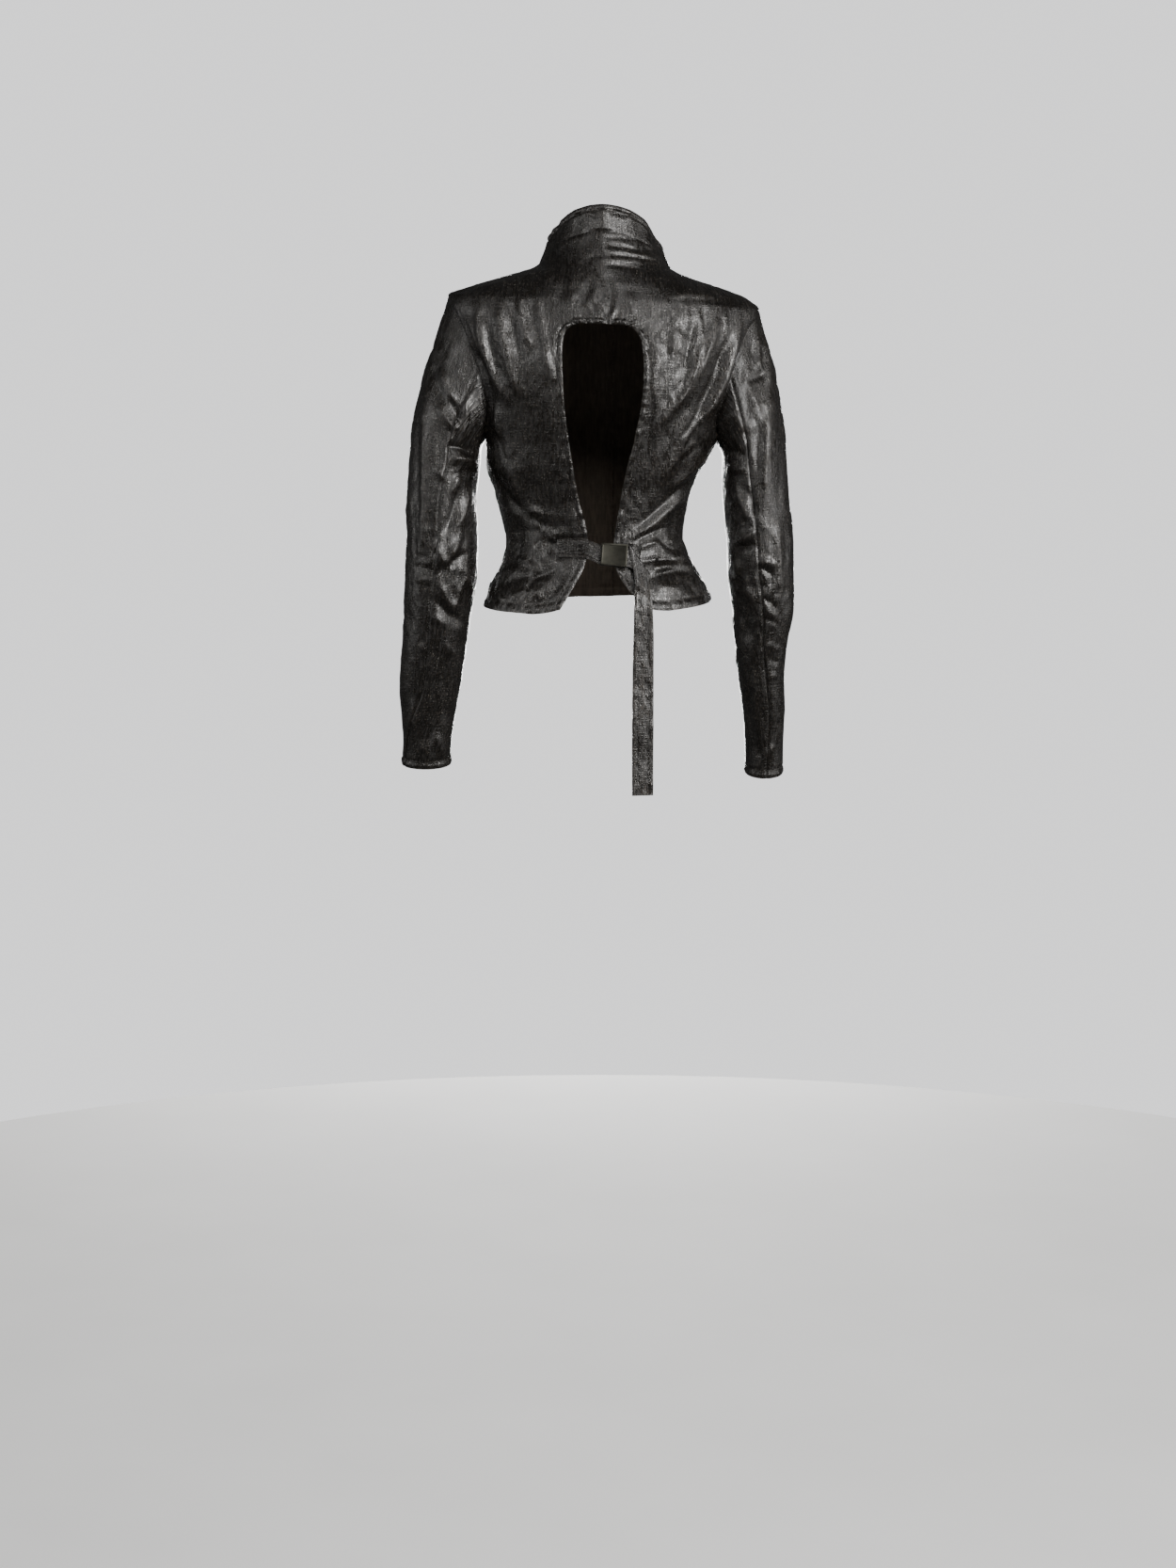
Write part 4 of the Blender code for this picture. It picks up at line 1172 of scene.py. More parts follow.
def coated_linen():
    """Linen woven from slubby yarn, dyed black and coated with wax on its face.

    The coating fills the weave, so the cloth shines in patches, brightest on the slubs and
    dullest in the hollows between them. It rubs off along edges, where the greyer yarn shows.
    The greyer tone on crease ridges and down the belt's tail is partly rubbed wax and partly a
    painted highlight. The finest sparks are single threads, drawn 1.5 mm wide to show at all.
    """
    cloth = bpy.context.scene.blazer_cloth
    made, tree = new_material("black_coated_linen")
    grain, slub_down, fine_slub, slub_across, weave = linen_threads(tree)
    place = add_node(tree, "TexCoord", output="Object")
    wear_and_sheen = add_node(tree, "Attribute", output="Fac", attribute_name="wear_and_sheen")
    patch = lumps(tree, place, (24, 24, 36), 4, 0.65)
    flecks = lumps(tree, grain, (2.0, 6.5, 1), 2, 0.7)
    hollows = lumps(tree, grain, (2.6, 17, 1), 2, 0.6)
    sparks = lumps(tree, grain, (1.5, 1.9, 1), 0)
    slub = added_up(tree, (slub_down, 0.0, 1.0, 0.0, 0.62), (slub_across, 0.0, 1.0, 0.0, 0.38))

    tone = tinted(tree, cloth.cloth_colour, cloth.wear_and_sheen_colour, slub, 0.5, 0.66, 0.0, 0.12)
    tone = tinted(tree, tone, cloth.wear_and_sheen_colour, flecks, 0.56, 0.66, 0.0, 0.3)
    # worn colour where the cloth is rubbed: real wear along edges; on crease ridges and down the belt's tail
    # it is partly a painted highlight
    rubbed_and_ridge_sheen = add_node(tree, "Math", {
        0: added_up(tree, (wear_and_sheen, 0.0, 1.0, 0.0, 1.0)),
        1: added_up(tree, (flecks, 0.45, 0.62, 0.05, 1.0)),
    }, operation="MULTIPLY")
    tone = tinted(tree, tone, cloth.wear_and_sheen_colour, rubbed_and_ridge_sheen, 0.0, 1.0)
    bright = add_node(tree, "Math", {
        0: added_up(tree, (sparks, 0.7, 0.78, 0.0, 1.0)),
        1: added_up(tree, (patch, 0.45, 0.65, 0.05, 0.6)),
    }, operation="MULTIPLY")
    tone = tinted(tree, tone, hex_colour("#8d857c"), bright, 0.0, 1.0)

    gloss = added_up(
        tree, (patch, 0.35, 0.65, 0.41, 0.58), (slub, 0.43, 0.57, 0.0, -0.26),
        (fine_slub, 0.38, 0.62, 0.0, -0.14), (hollows, 0.52, 0.62, 0.0, 0.3),
        (flecks, 0.52, 0.62, 0.0, -0.16), (wear_and_sheen, -0.7, 0.0, -0.14, 0.0))
    woven = relief(
        tree, (slub, 0.43, 0.57, 0.21), (flecks, 0.4, 0.6, 0.11), (fine_slub, 0.38, 0.62, 0.1),
        (weave, 0.0, 1.0, 0.04))
    set_surface(
        tree, Base_Color=tone, Roughness=gloss, Normal=woven, Specular_IOR_Level=0.55,
        Specular_Tint=(1.0, 0.97, 0.94, 1.0), Coat_Weight=0.2, Coat_Roughness=0.3)
    return made


def linen_inside():
    """The back of the same linen, left uncoated: matt, a little browner, its threads plain to see."""
    made, tree = new_material("uncoated_linen_inside")
    _, slub_down, fine_slub, slub_across, weave = linen_threads(tree)
    set_surface(
        tree,
        Base_Color=tinted(
            tree, hex_colour("#3a332c"), hex_colour("#564c41"), slub_down, 0.35, 0.7, 0.0, 0.6),
        Roughness=added_up(tree, (slub_across, 0.3, 0.7, 0.7, 0.9)),
        Normal=relief(tree, (fine_slub, 0.0, 1.0, 0.1), (weave, 0.0, 1.0, 0.04)),
        Specular_IOR_Level=0.2, Sheen_Weight=0.05)
    return made


def waxed_thread():
    """Spun and waxed sewing thread: dull, a shade lighter than the linen, mottled by its twist.

    The twist of a real 0.4 mm thread repeats about every 0.25 mm."""
    cloth = bpy.context.scene.blazer_cloth
    made, tree = new_material("waxed_thread")
    twist = lumps(tree, add_node(tree, "TexCoord", output="Object"), (0.25, 0.25, 0.25), 2)
    set_surface(
        tree, Base_Color=tinted(tree, cloth.thread_colour, cloth.wear_and_sheen_colour, twist, 0.0, 1.0),
        Roughness=0.55, Normal=relief(tree, (twist, 0.0, 1.0, 0.1), strength=0.6))
    return made


def gunmetal():
    """Pressed metal with a dark plating, brushed along the strap: a soft sheen with long fine
    scratches, and cloudy stains where fingers have dulled the plating. Real scratches lie some
    0.05 mm apart, which is too fine to show, so they are drawn 0.25 mm apart."""
    trim = bpy.context.scene.blazer_trim
    made, tree = new_material("brushed_gunmetal")
    place = add_node(tree, "TexCoord", output="Object")
    brushed = lumps(tree, place, (14, 14, 0.25), 3, 0.6)
    stain = lumps(tree, place, (7, 7, 7), 3, 0.6)
    tone = tinted(tree, trim.metal_colour, hex_colour("#24231f"), stain, 0.35, 0.7, 0.0, 0.6)
    tone = tinted(tree, tone, hex_colour("#4f4e48"), brushed, 0.45, 0.7, 0.0, 0.3)
    set_surface(
        tree, Base_Color=tone, Metallic=1.0, Roughness=added_up(tree, (brushed, 0.3, 0.7, 0.3, 0.48)),
        Normal=relief(tree, (brushed, 0.0, 1.0, 0.05), strength=0.5))
    return made


def horn_button():
    """Horn, turned and polished: dark, with cloudy streaks some 2 mm wide and a soft gloss."""
    trim = bpy.context.scene.blazer_trim
    made, tree = new_material("streaked_horn")
    streak = lumps(tree, add_node(tree, "TexCoord", output="Object"), (2.2, 8, 9), 4, 0.6, 0.6)
    set_surface(
        tree, Base_Color=tinted(tree, trim.button_colour, hex_colour("#453a30"), streak, 0.4, 0.7, 0.0, 0.8),
        Roughness=added_up(tree, (streak, 0.3, 0.7, 0.26, 0.4)), Coat_Weight=0.4, Coat_Roughness=0.15,
        Normal=relief(tree, (streak, 0.0, 1.0, 0.05), strength=0.3))
    return made


def studio_floor():
    """A painted floor: pale and matt, with faint clouds as wide as a roller's strokes, 300 mm."""
    stage = bpy.context.scene.blazer_stage
    made, tree = new_material("studio_floor")
    mottle = lumps(tree, add_node(tree, "TexCoord", output="Object"), (300, 300, 300), 3)
    set_surface(
        tree, Roughness=0.85,
        Base_Color=tinted(tree, stage.floor_colour, hex_colour("#e2e1df"), mottle, 0.3, 0.7, 0.0, 0.25))
    return made


FINISHES = {
    "coated_linen": coated_linen,
    "linen_inside": linen_inside,
    "waxed_thread": waxed_thread,
    "gunmetal": gunmetal,
    "horn_button": horn_button,
    "studio_floor": studio_floor,
}
MADE = {}


def finish_material(name):
    """A finish's material, made once."""
    if name not in MADE:
        MADE[name] = FINISHES[name]()
    return MADE[name]


# ---------------------------------------------------------------- panels of the body

ROW_STEPS = 9
COLUMN_STEPS = 8
CORNER_REACH = 9.0
CORNER_ROUNDS = 90
ARC_STEP = 5.0


def fine_map(control, row_kinks, column_kinks):
    """A panel's map with the places between its own lines."""
    rows = between(control, fine(ROWS, ROW_STEPS), row_kinks)
    return between(rows.swapaxes(0, 1), fine(COLUMNS, COLUMN_STEPS), column_kinks).swapaxes(0, 1)


def follow_neckline(plan, front):
    """Draws a panel's top edge to the exact neckline, and the rows below it a little less."""
    turns = between(neck_turns(front), fine(NECK_COLUMNS, COLUMN_STEPS))
    exact = np.stack(neckline(turns), axis=-1)
    share = np.clip((fine(ROWS, ROW_STEPS) - CUTOUT_TOP_ROW) / (ROWS - CUTOUT_TOP_ROW), 0, 1) ** 2
    plan[:, :len(turns)] += share[:, None, None] * (exact - plan[-1, :len(turns)])
    return plan


def back_plan():
    """The whole back's map of turn and height, from its right side to its left."""
    row_kinks, column_kinks = (SIDE_ROWS, CUTOUT_TOP_ROW), (CENTRE_COLUMNS, NECK_COLUMNS)
    right, left = (
        follow_neckline(fine_map(back_half(side), row_kinks, column_kinks), front=False) for side in (-1, 1))
    return np.concatenate([right[:, :0:-1] * (-1, 1), left], axis=1)


def round_corners(plan, top, edge, middle):
    """Eases the map where the opening's sides turn into its top, its edge along itself."""
    row, column = np.indices(plan.shape[:2])
    across = np.abs(column - middle)
    near = np.exp(-((row - top) ** 2 + (across - edge) ** 2) / CORNER_REACH**2)[..., None]
    inside = (row > top) | (across > edge)
    upright = (row < top) & (across == edge)
    corner = (row == top) & (across == edge)
    for _ in range(CORNER_ROUNDS):
        up, down = np.roll(plan, -1, axis=0), np.roll(plan, 1, axis=0)
        left, right = np.roll(plan, -1, axis=1), np.roll(plan, 1, axis=1)
        inner = np.where((column > middle)[..., None], right, left)
        eased = np.where(inside[..., None], (up + down + left + right) / 4, (left + right) / 2)
        eased = np.where(upright[..., None], (up + down) / 2, eased)
        eased = np.where(corner[..., None], (down + inner) / 2, eased)
        eased[:, [0, -1]], eased[[0, -1]] = plan[:, [0, -1]], plan[[0, -1]]
        plan = plan + near * (eased - plan) * ((row >= top) | (across >= edge))[..., None]
    return plan


def front_plan(side):
    """A front's map of turn and height: side is 1 on the left and -1 on the right."""
    plan = follow_neckline(fine_map(front_half(), (SIDE_ROWS,), (NECK_COLUMNS,)), front=True)
    return plan * (side, 1)


def arc_table():
    """How far round the form each turn lies from the first one, by height."""
    heights, turns = np.arange(-450, 90 + ARC_STEP, ARC_STEP), np.arange(-220.0, 221.0)
    points = bare_body(turns[None, :], heights[:, None])
    steps = np.linalg.norm(np.diff(points, axis=1), axis=2)
    arc = np.concatenate([np.zeros((len(heights), 1)), np.cumsum(steps, axis=1)], axis=1)
    return heights, turns, arc


ARC_HEIGHTS, ARC_TURNS, ARC = arc_table()


def body_grain(turn, height, middle):
    """UVs of the body's cloth: the length round the form from the middle turn, and the height."""
    row = np.clip((height - ARC_HEIGHTS[0]) / ARC_STEP, 0, len(ARC_HEIGHTS) - 1.001)
    column = np.clip(turn - ARC_TURNS[0], 0, len(ARC_TURNS) - 1.001)
    i, j = row.astype(int), column.astype(int)
    s, t = row - i, column - j
    here = mix(mix(ARC[i, j], ARC[i, j + 1], t), mix(ARC[i + 1, j], ARC[i + 1, j + 1], t), s)
    start = int(middle - ARC_TURNS[0])
    return np.stack([here - mix(ARC[i, start], ARC[i + 1, start], s), height], axis=-1)


def body_at(turn, height):
    """The cloth of the body before its seams and hems, and the way out of it."""
    point = bare_body(turn, height)
    out = normal_of(bare_body, turn, height)
    crumple = bpy.context.scene.blazer_cloth.crumple
    return point + out * body_lift(point, turn, crumple)[..., None], out


def body_normal(point):
    """Roughly the way out of the body at a point near it."""
    ring = body_ring(float(point[2]))
    out = Vector((point[0] / ring.left**2, point[1] / ring.back**2, 0))
    return out.normalized()


RAILS = {}


def body_rails():
    """The seams of the body as lines to search, the same for both panels that meet there."""
    if RAILS:
        return RAILS
    side = outer_edge(front=False)[:SIDE_ROWS + 1, 1]
    side = between(side, fine(SIDE_ROWS, ROW_STEPS))
    shoulder = top_edge(front=False)[NECK_COLUMNS:, 1]
    shoulder = between(shoulder, fine(COLUMNS - NECK_COLUMNS, COLUMN_STEPS))
    neck = np.concatenate([np.linspace(COLLAR_END, 90, 60), np.linspace(90, 0, 60)[1:]])
    seams = {
        "side": (np.full(len(side), 90.0), side),
        "shoulder": (np.full(len(shoulder), 90.0), shoulder),
        "armhole": armhole(np.linspace(0, 360, 241)),
        "neck": neckline(neck),
    }
    for sign in (1, -1):
        for seam, (turn, height) in seams.items():
            RAILS[f"{seam}_{hand_of(sign)}"] = rail_of(body_at(turn * sign, height)[0])
    return RAILS


def seams_on(points, names):
    """The furrows of the seams on these points."""
    rails = body_rails()
    return sum(
        seam_lift(rails[name], points, seed, NECK_FURROW if name.startswith("neck") else SEAM_FURROW)
        for seed, name in enumerate(names))


def wear_and_ridge_sheen_on(points, rails, ridge):
    """How rubbed the cloth is, most along its edges, with a lighter tone on its ridges that is partly rubbed
    wax and partly a painted highlight.
    """
    # painted highlight: crease ridges are laid lighter by their height, partly as rubbed wax and partly as
    # painted sheen
    wear_and_sheen = 0.22 * np.clip(ridge / 4, 0, 1)
    for rail in rails:
        gap, place = from_rail(rail, points)
        patchy = np.clip(0.5 + 1.4 * pucker(place, 3, 16), 0, 1.3)
        wear_and_sheen = np.maximum(wear_and_sheen, EDGE_WEAR * np.exp(-(gap / 1.6) ** 2) * patchy)
    return wear_and_sheen


def upwards(point):
    """A place above a point, for stitches that lie above their edge."""
    return (point[0], point[1], point[2] + 30)


def make_back():
    """The back, in one piece, with the open back cut out of it."""
    cloth = bpy.context.scene.blazer_cloth
    top, edge, middle = CUTOUT_TOP_ROW * ROW_STEPS, CENTRE_COLUMNS * COLUMN_STEPS, COLUMNS * COLUMN_STEPS
    plan = round_corners(back_plan(), top, edge, middle)
    turn, height = plan[..., 0], plan[..., 1]
    points, out = body_at(turn, height)
    ridge = crease_lift(BACK_CREASES, points[..., 0], points[..., 2])
    row, column = np.indices(turn.shape)
    keep = (row >= top) | (np.abs(column - middle) >= edge)
    opening = rail_of(np.concatenate([
        points[:top, middle + edge], points[top, middle + edge:middle - edge:-1],
        points[top::-1, middle - edge]]))
    hems = [rail_of(points[0, middle + edge:]), rail_of(points[0, :middle - edge + 1])]
    lift = hem_lift(opening, points, cloth.hem / MM, 11, 0.7)
    for seed, hem in enumerate(hems):
        lift += hem_lift(hem, points, BODY_HEM, 20 + seed, 0.35)
    lift += seams_on(points, [
        f"{seam}_{hand}" for seam in ("side", "shoulder", "armhole", "neck") for hand in ("left", "right")])
    wear_and_sheen = wear_and_ridge_sheen_on(points, [opening, *hems], ridge)
    lift = lift * (1 - 0.8 * under_belt(points))
    points = points + out * lift[..., None]
    obj = cloth_sheet("back_linen", points, out, body_grain(turn, height, 0), keep, wear_and_sheen)
    finish_cloth(obj, "back")

    def away_from_opening(point):
        return (point[0] * 3, point[1], point[2] + (40 if point[2] > -90 else 0))

    stitch_row(obj, opening, body_normal, away_from_opening, cloth.hem / MM)
    for hem in hems:
        stitch_row(obj, hem, body_normal, upwards, BODY_HEM)


def make_front(name, side, under):
    """One front: the one that lies under is tucked in along the closure."""
    plan = front_plan(side)
    turn, height = plan[..., 0], plan[..., 1]
    points, out = body_at(turn, height)
    if under:
        tuck = smooth_step((2.6 * FRONT_OVERLAP - side * points[..., 0]) / (1.2 * FRONT_OVERLAP))
        points = points - out * (OVERLAP_TUCK * tuck)[..., None]
    ridge = crease_lift(FRONT_CREASES, points[..., 0], points[..., 2])
    edge, hem = rail_of(points[:, 0]), rail_of(points[0])
    lift = hem_lift(edge, points, EDGE_HEM, 31, 0.25) + hem_lift(hem, points, BODY_HEM, 33, 0.35)
    lift += seams_on(points, [f"{seam}_{hand_of(side)}" for seam in ("side", "shoulder", "armhole", "neck")])
    wear_and_sheen = wear_and_ridge_sheen_on(points, [edge, hem], ridge)
    points = points + out * lift[..., None]
    obj = cloth_sheet(f"{name}_linen", points, out, body_grain(turn, height, 180 * side), None, wear_and_sheen)
    finish_cloth(obj, name)
    stitch_row(obj, edge, body_normal, lambda point: (point[0] + side * 30, point[1], point[2]), EDGE_HEM)
    stitch_row(obj, hem, body_normal, upwards, BODY_HEM)


def make_collar():
    """A stand collar sewn to the neckline's own points, open at the throat."""
    front = between(neck_turns(True), fine(NECK_COLUMNS, COLUMN_STEPS))[COLUMN_STEPS:]
    back = between(neck_turns(False), fine(NECK_COLUMNS, COLUMN_STEPS))
    half = np.concatenate([front, back[-2::-1]])
    turns = np.concatenate([half, -half[-2::-1]])
    neck_turn, neck_height = neckline(np.abs(turns))
    side = np.where(turns >= 0, 1, -1)
    base, body_out = body_at(neck_turn * side, neck_height)
    base = base + body_out * seam_at_neck(base)[:, None]
    stand = collar_stand(np.abs(turns))
    out = unit(base * (1, 1, 0))
    t = np.linspace(0, 1, COLLAR_RINGS)[:, None]
    lean = np.where(turns > 0, stand.left, stand.right) * (1.3 * t - 0.3 * t * t)
    points = base + out * lean[..., None] + np.stack([0 * lean, 0 * lean, stand.rise * t], axis=-1)
    outs = np.broadcast_to(out, points.shape)
    top = rail_of(points[-1])
    ends = [rail_of(points[:, 0]), rail_of(points[:, -1])]
    ridge = 1.5 * crease_lift(COLLAR_CREASES, points[..., 0], points[..., 2]) * (points[..., 1] > 0)
    fade = smooth_step(t / 0.12)
    lift = (ridge + crumple_at(points, 0.5)) * fade
    lift += hem_lift(top, points, EDGE_HEM, 41, 0.4) * smooth_step(t / 0.3)
    for seed, end in enumerate(ends):
        lift += hem_lift(end, points, COLLAR_END_HEM, 43 + seed, 0.25) * fade
    wear_and_sheen = wear_and_ridge_sheen_on(points, [top, *ends], ridge)
    points = points + outs * lift[..., None]
    obj = cloth_sheet("collar_linen", points, outs, None, None, wear_and_sheen)
    finish_cloth(obj, "collar")

    def level_out(point):
        return Vector((point[0], point[1], 0)).normalized()

    stitch_row(obj, top, level_out, lambda point: point + np.array([0, 0, -300.0]), EDGE_HEM)


def seam_at_neck(points):
    """The furrow of the collar's seam, so that the collar starts in it."""
    rails = body_rails()
    left = seam_lift(rails["neck_left"], points, 6, NECK_FURROW)
    return left + seam_lift(rails["neck_right"], points, 7, NECK_FURROW)


# ---------------------------------------------------------------- sleeves

AROUND_STEPS = 6
CAP_STEPS = 8
ARM_STEPS = 9
JOIN_REACH = 9.0
JOIN_ROUNDS = 60


def sleeve_form(arm_table, side):
    """Rings of a sleeve from the armhole to the cuff, the way out of them, and where its
    first ring is turned in under the body's cloth, as a seam's allowance is."""
    arm_at = reader(arm_table)
    top_ring, cuff = arm_table[0].height, arm_table[-1].height
    turns = np.linspace(0, 360, 2 * ARMHOLE_ROWS * AROUND_STEPS + 1)[:-1]

    def round_arm(height):
        """Where each column lies round the arm, between the two seams."""
        seam = arm_at(height).seam
        behind = mix(seam, UNDER_SEAM, (turns - BACK_SEAM) / (UNDER_SEAM - BACK_SEAM))
        ahead = (turns - UNDER_SEAM) % 360
        before = mix(UNDER_SEAM, seam + 360, ahead / (BACK_SEAM + 360 - UNDER_SEAM))
        return np.where((turns >= BACK_SEAM) & (turns <= UNDER_SEAM), behind, before)

    def ring(height):
        height = np.broadcast_to(np.asarray(height, float), turns.shape)
        arm = arm_at(height)
        angle = np.radians(round_arm(height))
        drop = CUFF_DROP * np.sin(angle) * smooth_step((-550 - height) / 80)
        x, y = side * (arm.out + arm.wide * np.cos(angle)), arm.back + arm.deep * np.sin(angle)
        return np.stack([x, y, height - drop], axis=-1)

    seam_turn, seam_height = armhole(turns)
    start, body_out = body_at(side * seam_turn, seam_height)
    below = smooth_step(0.4 - np.cos(np.radians(turns)))[:, None]
    furrow = seam_lift(body_rails()["armhole_" + hand_of(side)], start, 4 if side > 0 else 5, ARMHOLE_FURROW)
    start = start + body_out * furrow[:, None]
    start = start + body_out * UNDERARM_LIFT * below
    end = ring(top_ring)
    reach = np.linalg.norm(end - start, axis=1)[:, None]
    crown = np.array([side * CROWN_OUT, 0, CROWN_UP]) * np.maximum(np.cos(np.radians(turns)), 0)[:, None]
    second = mix(start, end, 0.33) + crown + body_out * UNDERARM_SPREAD * below
    third = end + np.array([0, 0, 0.34]) * reach
    rows = []
    for t in np.linspace(0, 1, CAP_RINGS * CAP_STEPS + 1):
        middle = second * 3 * t * (1 - t) ** 2
        rows.append(start * (1 - t) ** 3 + middle + third * 3 * t * t * (1 - t) + end * t**3)
    for t in np.linspace(0, 1, ARM_RINGS * ARM_STEPS + 1)[1:]:
        rows.append(ring(mix(top_ring, cuff, t)))
    grid = np.array(rows)
    join = CAP_RINGS * CAP_STEPS
    near = np.exp(-((np.arange(len(grid)) - join) / JOIN_REACH) ** 2)[1:-1, None, None]
    for _ in range(JOIN_ROUNDS):
        grid[1:-1] += 0.25 * near * (grid[:-2] - 2 * grid[1:-1] + grid[2:])
    down = np.gradient(grid, axis=0)
    about = np.roll(grid, -1, axis=1) - np.roll(grid, 1, axis=1)
    out = unit(np.cross(down, about) * side)
    share = np.clip(2 * np.sum(body_out * out[0], axis=1), 0, 1)[None, :, None]
    share = share * np.maximum(1 - np.arange(len(grid))[:, None, None] / (3 * CAP_STEPS), 0)
    toward = grid[0] - grid[1]
    toward = unit(toward - body_out * np.sum(toward * body_out, axis=1)[:, None])
    allowance = ALLOWANCE * toward - body_out * (UNDERARM_LIFT * below + ALLOWANCE_DEPTH)
    return grid, unit(mix(out, np.broadcast_to(body_out, out.shape), share)), allowance


def sleeve_lift(points, out, behind, ahead):
    """A sleeve's creases, given as they are seen from behind and from the front."""
    facing = smooth_step((out[..., 1] + 0.3) / 0.6)
    back = crease_lift(behind, points[..., 0], points[..., 2])
    front = crease_lift(ahead, points[..., 0], points[..., 2])
    return back * facing + front * (1 - facing)


def make_sleeve(name, side, arm_table, behind, ahead):
    """A sleeve's top and under pieces, cut from one form along its two seams."""
    cloth = bpy.context.scene.blazer_cloth
    grid, out, allowance = sleeve_form(arm_table, side)
    rings, columns = grid.shape[:2]
    ring = np.arange(rings)[:, None]
    z = grid[..., 2]
    # most crumpled round the elbow and at the top of the arm, least towards the cuff
    crumpled = 0.75 + 0.5 * np.exp(-((z + 400) / 90) ** 2) + 0.35 * np.exp(-((z + 110) / 60) ** 2)
    crumpled = crumpled - 0.35 * smooth_step((-470 - z) / 60)
    ridge = sleeve_lift(grid, out, behind, ahead)
    lift = ridge + 1.3 * crumple_at(grid, cloth.crumple) * crumpled
    points = grid + out * (lift * smooth_step(ring / (2.5 * CAP_STEPS)))[..., None]
    cuff = rail_of(np.concatenate([points[-1], points[-1, :1]]))
    step = 360 // (2 * ARMHOLE_ROWS)
    back_seam, under_seam = (int(seam) // step * AROUND_STEPS for seam in (BACK_SEAM, UNDER_SEAM))
    clear = smooth_step(ring / (0.5 * CAP_STEPS))
    extra = hem_lift(cuff, points, cloth.cuff / MM, 51, 0.4)
    extra += sum(
        seam_lift(rail_of(points[:, seam]), points, seed, SLEEVE_FURROW)
        for seam, seed in ((back_seam, 53), (under_seam, 54))) * clear
    gap, place = from_rail(body_rails()["armhole_" + hand_of(side)], points)
    extra += np.exp(-((gap - 5) / 3.5) ** 2) * (0.45 + 0.5 * pucker(place, 57, 10)) * clear
    wear_and_sheen = wear_and_ridge_sheen_on(points, [cuff], ridge)
    points = points + out * extra[..., None]
    points[0] += allowance
    centre = points[-1].mean(axis=0)

    def from_arm(point):
        return Vector((point[0] - centre[0], point[1] - centre[1], 0)).normalized()

    for piece, chosen in (
        ("top", np.arange(under_seam, back_seam + columns + 1) % columns),
        ("under", np.arange(back_seam, under_seam + 1)),
    ):
        obj = cloth_sheet(
            f"{name}_{piece}_linen", points[:, chosen], out[:, chosen], None, None, wear_and_sheen[:, chosen])
        finish_cloth(obj, f"{name}_{piece}")
        stitch_row(obj, rail_of(points[-1, chosen]), from_arm, upwards, cloth.cuff / MM)


# ---------------------------------------------------------------- belt, buckle and buttons


def belt_place(x, z, lift):
    """Points this far out from the back, given as they are seen from behind, and the way out."""
    x, z, lift = (np.asarray(v, float) for v in (x, z, lift))
    height = z - tilt(z) * x
    turn = turn_at(height, x)
    point, out = bare_body(turn, height), normal_of(bare_body, turn, height)
    soft = crease_lift(BACK_CREASES, point[..., 0], point[..., 2])
    return point + out * (soft + lift)[..., None], out


def tail_place(x, z, lift):
    """The tail follows the back down to the hem and then hangs straight."""
    place, _ = belt_place(x, np.maximum(z, TAIL_FALL), lift)
    return np.stack([np.broadcast_to(x, place.shape[:-1]), place[..., 1], z], axis=-1)


def strap_lines():
    """The strap's two edges and the way out of its first face, station by station."""
    belt = between(np.array(STRAP), fine(len(STRAP) - 1, BELT_STEPS))
    tail = between(np.array(TAIL), fine(len(TAIL) - 1, TAIL_STEPS))
    top, out = belt_place(belt[:, 0], belt[:, 1], belt[:, 4])
    low, _ = belt_place(belt[:, 2], belt[:, 3], belt[:, 4])
    turn_top, turn_out = belt_place(*CREASE_TOP, STUB_LIFT)
    turn_low, _ = belt_place(*CREASE_LOW, STUB_LIFT)
    away = unit(np.cross(turn_top - turn_low, turn_out))
    away = away if away[0] < 0 else -away
    swing = np.linspace(0, math.pi, 2 * CREASE_STEPS + 1)[:, None]
    shift = (away * np.sin(swing) + turn_out * (1 - np.cos(swing))) * CREASE_RADIUS
    face = turn_out * np.cos(swing) - away * np.sin(swing)
    tail_top = tail_place(tail[:, 0], tail[:, 1], tail[:, 4])
    tail_low = tail_place(tail[:, 2], tail[:, 3], tail[:, 4])
    return (
        np.concatenate([top, turn_top + shift, tail_top]),
        np.concatenate([low, turn_low + shift, tail_low]),
        np.concatenate([out, face, np.broadcast_to(-turn_out, tail_top.shape)]),
    )


